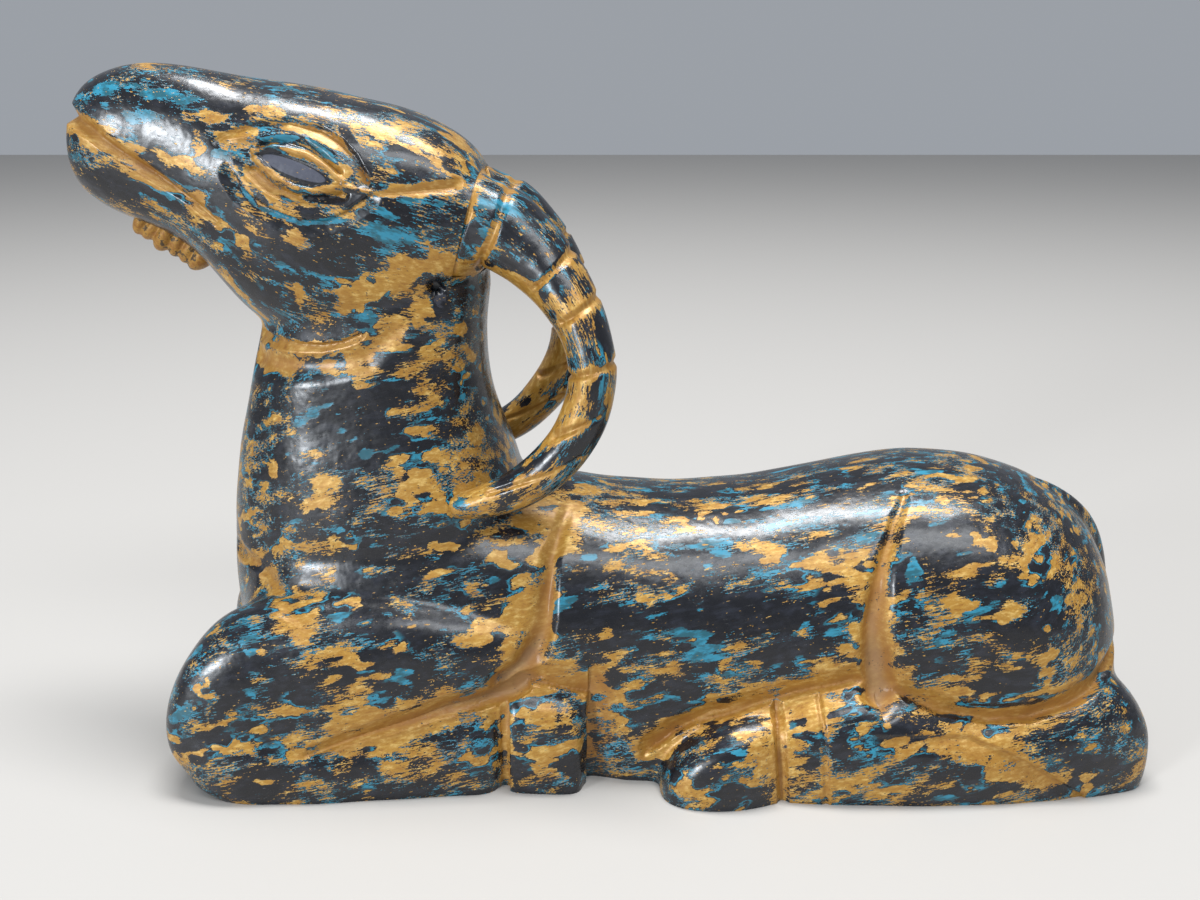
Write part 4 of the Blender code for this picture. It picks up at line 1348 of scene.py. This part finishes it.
def tuft_tree():
    """A tree that sets rounded tufts along a line."""
    tree = bpy.data.node_groups.new("tufts_along_line", "GeometryNodeTree")
    face = tree.interface
    face.new_socket("Line", in_out="INPUT", socket_type="NodeSocketGeometry")
    face.new_socket("Tufts", in_out="INPUT", socket_type="NodeSocketInt")
    for name in ("Tuft size", "Lean"):
        face.new_socket(name, in_out="INPUT", socket_type="NodeSocketVector")
    for name in ("Uneven turn", "Uneven size"):
        face.new_socket(name, in_out="INPUT", socket_type="NodeSocketFloat")
    face.new_socket("Seed", in_out="INPUT", socket_type="NodeSocketInt")
    face.new_socket("Finish", in_out="INPUT", socket_type="NodeSocketMaterial")
    face.new_socket("Beard", in_out="OUTPUT", socket_type="NodeSocketGeometry")
    bench = Bench(tree)
    given = bench.add("NodeGroupInput", {}, {}).outputs
    path = bench.add("GeometryNodeMeshToCurve", {}, {"Mesh": given["Line"]}).outputs[0]
    points = bench.add("GeometryNodeCurveToPoints", {}, {"Curve": path, "Count": given["Tufts"]})
    values = {"Segments": TUFT_SEGMENTS, "Rings": TUFT_ROWS, "Radius": 1.0}
    tuft = bench.add("GeometryNodeMeshUVSphere", {}, values).outputs["Mesh"]
    wobble = Signal(bench, given["Uneven turn"])
    low = bench.add("ShaderNodeCombineXYZ", {}, {"X": -1 * wobble, "Y": -1 * wobble}).outputs[0]
    high = bench.add("ShaderNodeCombineXYZ", {}, {"X": wobble, "Y": wobble}).outputs[0]
    values = {"Min": low, "Max": high, "Seed": given["Seed"]}
    turn = bench.add("FunctionNodeRandomValue", {"data_type": "FLOAT_VECTOR"}, values).outputs[0]
    turn = vector_maths(bench, "ADD", turn, given["Lean"])
    uneven = Signal(bench, given["Uneven size"])
    random = bench.add("FunctionNodeRandomValue", {"data_type": "FLOAT"}, {})
    bench.fill(random.inputs[2], 1 - uneven)
    bench.fill(random.inputs[3], 1 + uneven)
    bench.fill(random.inputs["Seed"], Signal(bench, given["Seed"]) + 1)
    size = scaled(bench, given["Tuft size"], random.outputs[1])
    values = {"Points": points.outputs[0], "Instance": tuft, "Rotation": turn, "Scale": size}
    row = bench.add("GeometryNodeInstanceOnPoints", {}, values).outputs[0]
    real = bench.add("GeometryNodeRealizeInstances", {}, {"Geometry": row}).outputs[0]
    values = {"Geometry": real, "Material": given["Finish"]}
    finished = bench.add("GeometryNodeSetMaterial", {}, values).outputs[0]
    bench.add("NodeGroupOutput", {}, {"Beard": finished})
    return tree


def beard_mesh():
    """The tufts set along the chin, wrapped into one piece and cut flat where it is glued on."""
    front = Vector((BEARD_FRONT[0], 0, BEARD_FRONT[1])) * UNIT
    back = Vector((BEARD_BACK[0], 0, BEARD_BACK[1])) * UNIT
    line = bpy.data.meshes.new("beard_line")
    line.from_pydata([front, back], [(0, 1)], [])
    obj = put("beard_line", line, workshop)
    row = obj.modifiers.new("tufts", "NODES")
    row.node_group = tuft_tree()
    slope = math.atan2(back.z - front.z, back.x - front.x)
    set_inputs(row, {"Tufts": TUFTS, "Tuft size": Vector(TUFT_SIZE) * UNIT, "Lean": (0, -slope, 0),
                     "Uneven turn": UNEVEN_TURN, "Uneven size": UNEVEN_SIZE, "Seed": TUFT_SEED})
    tufts = plain_mesh(obj, "tufts")
    wrap_obj = put("beard_wrap", tufts, workshop)
    wrap = wrap_obj.modifiers.new("wrap", "REMESH")
    wrap.mode = "VOXEL"
    wrap.voxel_size = BEARD_VOXEL * UNIT
    sanding = wrap_obj.modifiers.new("sanding", "SMOOTH")
    sanding.iterations = BEARD_SANDING
    return cut_with(plain_mesh(wrap_obj, "beard"), prism(BEARD_SEAT, -WIDE, WIDE), "DIFFERENCE")


beard = beard_mesh()
store(beard, "flow", point_array(beard))
print("beard has", len(beard.polygons), "faces")

# %% [markdown]
# ## The rubbed finish
# The figure is painted gold first, then black, teal and black again, and rubbed back through the
# layers. One number describes it all: how deep the rubbing went at a place. Where it went
# deepest the gold shows, a little less shows a thin black line, then teal, then the top black.
# The number adds up slow noise for the patches, fine noise drawn out along the form for the
# ragged edges of the brush, the strokes laid by hand, and the carved marks, because cuts hold
# the gold. A painted picture could carry all this, but nodes stay sharp at any distance.

# %% Colours
# Colours are linear light.
BLACK = (0.0045, 0.005, 0.0075, 1)
# Worn black: partly real wear, partly a grey-blue painted sheen.
BLACK_WORN_AND_SHEEN = (0.015, 0.017, 0.025, 1)
TEAL = (0.022, 0.20, 0.30, 1)
TEAL_DEEP = (0.012, 0.085, 0.115, 1)
GOLD_PAINT = (0.40, 0.210, 0.032, 1)
GOLD_BRIGHT = (0.62, 0.41, 0.125, 1)
GOLD_BROWN = (0.26, 0.110, 0.016, 1)
DUST = (0.27, 0.20, 0.13, 1)
# A grey painted sheen for the eyeball, in place of its black.
EYE_PAINTED_SHEEN = (0.075, 0.08, 0.105, 1)
WOOD_PALE = (0.60, 0.42, 0.25, 1)
WOOD_DARK = (0.38, 0.24, 0.12, 1)

# Each swell of chance in the finish: its size in pattern units, how far it is drawn out along
# the form, its detail and roughness, and a shift that makes it a draw of its own.
SWELLS = {
    "patches": (4.4, 1.0, 1.5, 0.45, 3.1),
    "regions": (26, 1.4, 1.0, 0.5, 7.7),
    "brush": (0.5, 8.0, 2.0, 0.6, 1.3),
    "dry brush": (11, 1.5, 1.0, 0.5, 5.5),
    "grit": (0.42, 1.8, 2.0, 0.6, 9.2),
    "specks": (0.62, 2.8, 1.0, 0.5, 19.0),
    "pinholes": (0.5, 2.2, 2.0, 0.6, 23.0),
    "halo": (12, 1.6, 1.0, 0.5, 2.2),
    "blots": (4.6, 1.3, 1.5, 0.5, 11.4),
    "shade": (3.2, 2.0, 3.0, 0.6, 6.6),
    "smudge": (1.3, 4.0, 3.0, 0.65, 21.0),
    "grain": (1.3, 2.6, 4.0, 0.68, 4.4),
    "stain": (6.5, 1.5, 3.0, 0.6, 8.8),
    "wear": (1.4, 2.0, 3.0, 0.6, 12.5),
    "dents": (6.0, 1.0, 2.0, 0.5, 14.2),
    "cracks": (0.8, 9.0, 2.0, 0.5, 17.0),
    "tuft tone": (3.0, 1.0, 3.0, 0.6, 2.0),
    "tuft grain": (0.7, 1.0, 3.0, 0.6, 5.0),
    "wood grain": (1.2, 8.0, 4.0, 0.6, 1.0),
}
SHIFT_SHARES = (1.0, 1.7, 0.6)


def mixed(bench, share, first, second):
    """A colour between two colours."""
    values = {0: share, 6: first, 7: second}
    return bench.add("ShaderNodeMix", {"data_type": "RGBA"}, values).outputs[2]


def swell(bench, place, name, drawn_out=1.0):
    """One swell of chance, drawn out further along the form where asked."""
    size, stretch, detail, roughness, shift = SWELLS[name]
    shares = (1 / (size * stretch * drawn_out), 1 / size, 1 / size)
    scaled_place = vector_maths(bench, "MULTIPLY", place, shares)
    moved = vector_maths(bench, "ADD", scaled_place, [shift * share for share in SHIFT_SHARES])
    values = {"Vector": moved, "Scale": 1.0, "Detail": detail, "Roughness": roughness}
    return Signal(bench, bench.add("ShaderNodeTexNoise", {}, values).outputs["Fac"])


def start_finish(name):
    """A new material, its bench and its shader."""
    material = bpy.data.materials.new(name)
    material.use_nodes = True
    return material, Bench(material.node_tree), material.node_tree.nodes["Principled BSDF"]


def mark(bench, name):
    """A number that is kept on the mesh's points."""
    return Signal(bench, bench.add("ShaderNodeAttribute", {"attribute_name": name}, {}).outputs["Fac"])


def flow_mark(bench):
    """The place along the form that is kept on the mesh's points."""
    return bench.add("ShaderNodeAttribute", {"attribute_name": "flow"}, {}).outputs["Vector"]


def give_relief(bench, shader, height, strength, distance):
    """Lets the light fall as if the surface rose and sank by a height."""
    values = {"Height": height, "Strength": strength, "Distance": distance}
    bench.fill(shader.inputs["Normal"], bench.add("ShaderNodeBump", {}, values).outputs[0])


print(len(SWELLS), "swells and", len(SKIN_MARKS), "marks for the finish")

# %% [markdown]
# ## Layers of gold and teal
# Each layer is a mask between 0 and 1 over the depth of rubbing. The gold has pinholes where it
# is thin and loose specks beside it. Teal shows as a broken line round the gold, where the
# rubbing slopes down, and in blots of its own. Masks keep their edges narrow, because real
# layers chip and don't fade.

# %% Masks of the layers
# Where a mask starts, and where it is full.
GOLD_FROM = (0.612, 0.627)
SPECKS_FROM = (0.715, 0.745)
PINHOLES_FROM = (0.63, 0.68)
# From here down to here the gold is thin enough for pinholes.
THIN_GOLD = (0.80, 0.70)
TEAL_FROM = (0.525, 0.54)
TEAL_TO = (0.575, 0.59)
HALO_FROM = (0.45, 0.52)
BLOTS_FROM = (0.645, 0.67)
DRY_FROM = (0.38, 0.60)
# Depths of cut, in pattern units: where gold gathers, where dirt does, and the deepest floors.
HOLLOW = (0.4, 2.2)
CUT_FLOOR = (0.8, 3.0)
DEEPEST = (2.4, 4.4)
# How much of each effect there is with a wet brush, and how much a dry brush adds.
BRUSH_EDGE = (0.10, 0.85)
GRIT_EDGE = (0.10, 0.42)
STRAY_GOLD = (0.07, 0.13)
# How much hollows, whole regions and a dry brush add to the gold or the specks, and how much
# the ragged brush adds to the teal blots and a golden region takes from them.
HOLLOW_GOLD = 0.17
REGION_GOLD = 0.55
DRY_SPECKS = 0.05
RAGGED_BLOTS = 0.8
REGION_BLOTS = 0.2


def with_dryness(dry, wet_and_dry):
    """How strong an effect is where the brush runs dry."""
    wet, added = wet_and_dry
    return wet + added * dry


def layers(bench, flow, grit, stretch):
    """The masks of gold and teal."""
    dry = swell(bench, flow, "dry brush").rise(*DRY_FROM)
    brush = swell(bench, flow, "brush") - 0.5
    ragged = brush * with_dryness(dry, BRUSH_EDGE) + grit * with_dryness(dry, GRIT_EDGE)
    region = swell(bench, flow, "regions") - 0.5
    held = mark(bench, "strays") * with_dryness(dry, STRAY_GOLD)
    held = held + mark(bench, "cut").rise(*HOLLOW) * HOLLOW_GOLD + mark(bench, "gilt")
    rubbed = swell(bench, flow, "patches", stretch) + region * REGION_GOLD + ragged + held

    specks = swell(bench, flow, "specks") + (dry - 0.5) * DRY_SPECKS
    gold = rubbed.rise(*GOLD_FROM).largest(specks.rise(*SPECKS_FROM))
    pinholes = swell(bench, flow, "pinholes").rise(*PINHOLES_FROM)
    gold = gold * (1 - pinholes * rubbed.rise(*THIN_GOLD))

    halo = rubbed.rise(*TEAL_FROM) * (1 - rubbed.rise(*TEAL_TO))
    halo = halo * swell(bench, flow, "halo").rise(*HALO_FROM)
    blots = swell(bench, flow, "blots", stretch) + ragged * RAGGED_BLOTS - region * REGION_BLOTS
    blots = blots + mark(bench, "tint")
    return gold, halo.largest(blots.rise(*BLOTS_FROM))


print("gold shows from", GOLD_FROM[0], "of the rubbing and teal from", TEAL_FROM[0])

# %% Colour of the layers
# The eyeball is marked with far less gold than anything else, and so is told from the rest.
# There it takes a grey painted sheen in place of the black.
EYEBALL_MARK = (0.62, 0.80)
# Where the worn black with its grey-blue painted sheen, the deep teal, the bright gold, the stains
# and the middle of the stray gold start and are full. The gold's grain is brown below the first BROWN_TO.
WORN_AND_SHEEN_FROM = (0.42, 0.80)
DEEP_TEAL_FROM = (0.38, 0.62)
BRIGHT_FROM = (0.47, 0.70)
BROWN_TO = (0.26, 0.47)
STAIN_FROM = (0.38, 0.66)
STRAY_CORE = (0.6, 1.0)
# How much the smudges move the shades, and how far stray gold and stains are browned; beside
# the cuts the browning is partly painted shade. In the cuts the gold is browned, partly as painted
# shade, by the first number and, where it is stained, by the second as well.
SMUDGED_BLACK = 0.6
SMUDGED_TEAL = 0.8
STRAYS_BROWN_AND_SHADE = 0.5
STAINS_BROWNED = 0.35
CUTS_BROWN_AND_SHADE = (0.62, 0.38)
CUTS_DUSTED = 0.35


def gold_colour(bench, flow):
    """Gold with a bright and a brown grain, browned by stains and, partly as painted shade, in and beside
    the cuts, and dusty at their deepest floors.
    """
    cut = mark(bench, "cut")
    grain = swell(bench, flow, "grain")
    colour = mixed(bench, grain.rise(*BRIGHT_FROM), GOLD_PAINT, GOLD_BRIGHT)
    colour = mixed(bench, 1 - grain.rise(*BROWN_TO), colour, GOLD_BROWN)
    # In and beside the cuts the gold is browned: partly a browner gold, partly painted shade.
    deep = cut.rise(*HOLLOW).largest(mark(bench, "strays").rise(*STRAY_CORE) * STRAYS_BROWN_AND_SHADE)
    stain = swell(bench, flow, "stain").rise(*STAIN_FROM)
    always, stained = CUTS_BROWN_AND_SHADE
    browned = (deep * (always + stained * stain)).largest(stain * STAINS_BROWNED)
    colour = mixed(bench, browned, colour, GOLD_BROWN)
    return mixed(bench, cut.rise(*DEEPEST) * CUTS_DUSTED, colour, DUST)


def layered_colour(bench, flow, gold, teal):
    """The colour of the top layer at each place."""
    shade = swell(bench, flow, "shade")
    smudge = swell(bench, flow, "smudge") - 0.5
    # Patches of worn black that also carry a grey-blue painted sheen.
    worn_and_sheen = (shade + smudge * SMUDGED_BLACK).rise(*WORN_AND_SHEEN_FROM)
    black_tone = mixed(bench, worn_and_sheen, BLACK, BLACK_WORN_AND_SHEEN)
    # The eyeball gets a grey painted sheen.
    eyeball_sheen = (mark(bench, "gilt") * -1).rise(*EYEBALL_MARK)
    black_tone = mixed(bench, eyeball_sheen, black_tone, EYE_PAINTED_SHEEN)
    deep_teal = (shade + smudge * SMUDGED_TEAL).rise(*DEEP_TEAL_FROM)
    teal_tone = mixed(bench, deep_teal, TEAL, TEAL_DEEP)
    colour = mixed(bench, teal, black_tone, teal_tone)
    return mixed(bench, gold, colour, gold_colour(bench, flow))


print("the black is worn grey from", WORN_AND_SHEEN_FROM[0], "of its shade")

# %% Lacquer
COAT_WEIGHT = 0.12
COAT_ROUGHNESS = 0.18
# Strength of the relief, and its height in metres.
LACQUER_RELIEF = (0.55, 0.0006)
CRACKS_FROM = (0.70, 0.74)
# Shares of the relief's height. Grit stands up on the gold, and less on the black.
DENT_HEIGHT = 0.9
GOLD_SUNK = 0.10
TEAL_SUNK = 0.04
CRACK_DEPTH = 0.25
GRIT_HEIGHT = 0.10
GRIT_ON_BLACK = 0.25
# Roughness of the rubbed black, and what wear, gold, teal and dirt in the cuts add to it.
POLISH = 0.17
WEAR_ROUGHNESS = 0.20
GOLD_ROUGHNESS = 0.14
TEAL_ROUGHNESS = 0.05
DIRT_ROUGHNESS = 0.28
# Gold paint is only partly metallic, and less so under dirt.
GOLD_METALLIC = 0.22
DIRT_METALLIC = 0.18


def surface_height(bench, flow, grit, gold, teal):
    """Soft dents and hairline cracks, with the gold and teal a little lower than the black."""
    dents = swell(bench, flow, "dents") * DENT_HEIGHT
    sunk = gold * GOLD_SUNK + teal * TEAL_SUNK
    cracks = swell(bench, flow, "cracks").rise(*CRACKS_FROM) * CRACK_DEPTH
    return dents - sunk + grit * GRIT_HEIGHT * (gold + GRIT_ON_BLACK) - cracks


def lacquer(name, stretch):
    """The layered and rubbed finish, with patches drawn out along the form by stretch."""
    material, bench, shader = start_finish(name)
    flow = flow_mark(bench)
    grit = swell(bench, flow, "grit") - 0.5
    gold, teal = layers(bench, flow, grit, stretch)
    bench.fill(shader.inputs["Base Color"], layered_colour(bench, flow, gold, teal))
    dirt = mark(bench, "cut").rise(*CUT_FLOOR)
    roughness = POLISH + swell(bench, flow, "wear") * WEAR_ROUGHNESS + dirt * DIRT_ROUGHNESS
    roughness = roughness + gold * GOLD_ROUGHNESS + teal * TEAL_ROUGHNESS
    bench.fill(shader.inputs["Roughness"], roughness)
    bench.fill(shader.inputs["Metallic"], gold * (GOLD_METALLIC - DIRT_METALLIC * dirt))
    shader.inputs["Coat Weight"].default_value = COAT_WEIGHT
    shader.inputs["Coat Roughness"].default_value = COAT_ROUGHNESS
    give_relief(bench, shader, surface_height(bench, flow, grit, gold, teal), *LACQUER_RELIEF)
    return material


BODY_STRETCH = 2.3
HORN_STRETCH = 2.0
body_lacquer = lacquer("rubbed_lacquer", BODY_STRETCH)
horn_lacquer = lacquer("rubbed_lacquer_horn", HORN_STRETCH)
print("lacquer has", len(body_lacquer.node_tree.nodes), "nodes")

# %% [markdown]
# ## Gold of the beard and wood of the dowels
# The beard is gilded by itself, over brown, and keeps black only in a few larger smears. The
# dowels are bare turned wood. They are hidden in the glued figure, so a plain grain is enough.

# %% Beard and dowels
# Where the brown of the tufts has turned to gold, and where their black smears start.
TUFT_GOLD_FROM = (0.35, 0.62)
TUFT_BLACK_FROM = (0.56, 0.62)
TUFT_BLACK = 0.85
# How much the fine grain moves the edges of the gold and of the smears.
GRAINED_GOLD = 0.5
GRAINED_BLACK = 0.35
TUFT_ROUGHNESS = 0.42
TUFT_METALLIC = 0.2
TUFT_RELIEF = (0.4, 0.0004)
WOOD_DARK_FROM = (0.35, 0.65)
WOOD_ROUGHNESS = 0.55
WOOD_RELIEF = (0.3, 0.0003)
# How much a fine grain adds to the roughness.
GRAIN_ROUGHNESS = 0.2
MILLIMETRES = 1000


def beard_gold():
    """Gold over brown, with smears of black."""
    material, bench, shader = start_finish("beard_gold")
    flow = flow_mark(bench)
    slow = swell(bench, flow, "tuft tone")
    fine = swell(bench, flow, "tuft grain")
    golden = (slow + (fine - 0.5) * GRAINED_GOLD).rise(*TUFT_GOLD_FROM)
    tone = mixed(bench, golden, GOLD_BROWN, GOLD_PAINT)
    black = (slow + (fine - 0.5) * GRAINED_BLACK).rise(*TUFT_BLACK_FROM) * TUFT_BLACK
    bench.fill(shader.inputs["Base Color"], mixed(bench, black, tone, BLACK))
    bench.fill(shader.inputs["Roughness"], TUFT_ROUGHNESS + GRAIN_ROUGHNESS * fine)
    bench.fill(shader.inputs["Metallic"], TUFT_METALLIC * (1 - black))
    give_relief(bench, shader, fine, *TUFT_RELIEF)
    return material


def dowel_wood():
    """Pale turned wood with fine straight grain."""
    material, bench, shader = start_finish("dowel_wood")
    place = bench.add("ShaderNodeTexCoord", {}, {}).outputs["Object"]
    grain = swell(bench, scaled(bench, place, MILLIMETRES), "wood grain")
    tone = mixed(bench, grain.rise(*WOOD_DARK_FROM), WOOD_PALE, WOOD_DARK)
    bench.fill(shader.inputs["Base Color"], tone)
    bench.fill(shader.inputs["Roughness"], WOOD_ROUGHNESS + GRAIN_ROUGHNESS * grain)
    give_relief(bench, shader, grain, *WOOD_RELIEF)
    return material


gold_of_beard = beard_gold()
wood_of_dowels = dowel_wood()
for name, node in frame["nodes"].items():
    if "dowel" in name or "pin" in name:
        node.data.materials.clear()
        node.data.materials.append(wood_of_dowels)
print("dowels share", wood_of_dowels.name)

# %% [markdown]
# ## Hanging the pieces on the frame
# Each fine piece stands for the frame's solid of the same name, rides on the one body of this
# rigid figure, and gets its finish.

# %% Place the pieces
CRISP = math.radians(50)


def show(name, mesh, material, node):
    """Puts a finished piece in place of the frame's node."""
    mesh.name = name
    mesh.materials.clear()
    mesh.materials.append(material)
    mesh.shade_smooth()
    mesh.set_sharp_from_angle(angle=CRISP)
    obj = put(name, mesh, figure)
    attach(obj, "root")
    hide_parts(node)
    return obj


pieces = []
for blank_name, mesh in blanks.items():
    pieces.append(show(f"carved_{blank_name}", mesh, body_lacquer, blank_name))
for side_name, mesh in horns.items():
    horn_name = f"horn_{side_name}"
    pieces.append(show(f"carved_{horn_name}", mesh, horn_lacquer, horn_name))
pieces.append(show("carved_beard", beard, gold_of_beard, "beard"))
print(len(pieces), "pieces shown")

# %% [markdown]
# ## Floor and light
# The figure stands on a plain pale floor. One broad soft lamp hangs overhead, as in a room, and
# gives the long highlight on the back and the crown. A weaker one hangs where a window would be,
# before the flank, and a small cool one at the front left lights the side of the neck and muzzle.

# %% Floor
FLOOR_SIZE = 6
FLOOR_COLOUR = (0.43, 0.41, 0.385, 1)
FLOOR_ROUGHNESS = 0.6
bpy.ops.mesh.primitive_plane_add(size=FLOOR_SIZE, location=(0, 0, 0))
floor = bpy.context.object
floor.name = "floor"
floor_material, _, floor_shader = start_finish("pale_floor")
floor_shader.inputs["Base Color"].default_value = FLOOR_COLOUR
floor_shader.inputs["Roughness"].default_value = FLOOR_ROUGHNESS
floor.data.materials.append(floor_material)
print("floor is", tuple(round(size, 1) for size in floor.dimensions), "metres")

# %% Lamps
# (name, place, the point it looks at, size, power, colour)
LAMPS = (
    ("overhead", (0.05, 0.12, 2.1), (0, 0, 0.1), (1.25, 0.42), 56, (0.96, 0.98, 1)),
    ("window", (0.30, -1.15, 1.75), (0, 0, 0.1), (1.5, 0.5), 20, (0.94, 0.97, 1)),
    ("front_left", (-1.5, -1.45, 0.62), (-0.05, 0, 0.12), (0.34, 0.5), 30, (0.90, 0.95, 1)),
)
ROOM_COLOUR = (0.60, 0.64, 0.70, 1)
ROOM_STRENGTH = 0.55

for lamp_name, place, aim, size, power, colour in LAMPS:
    light = bpy.data.lights.new(lamp_name, "AREA")
    light.shape = "RECTANGLE"
    light.size, light.size_y = size
    light.energy = power
    light.color = colour
    lamp = bpy.data.objects.new(lamp_name, light)
    lamp.location = place
    lamp.rotation_euler = (Vector(aim) - Vector(place)).to_track_quat("-Z", "Y").to_euler()
    bpy.context.scene.collection.objects.link(lamp)
room = bpy.data.worlds.new("room")
room.use_nodes = True
room.node_tree.nodes["Background"].inputs["Color"].default_value = ROOM_COLOUR
room.node_tree.nodes["Background"].inputs["Strength"].default_value = ROOM_STRENGTH
bpy.context.scene.world = room
print(len(LAMPS), "lamps")

# %% Clear the workshop
for leftover in list(workshop.objects):
    bpy.data.objects.remove(leftover)
bpy.data.collections.remove(workshop)
bpy.context.view_layer.update()
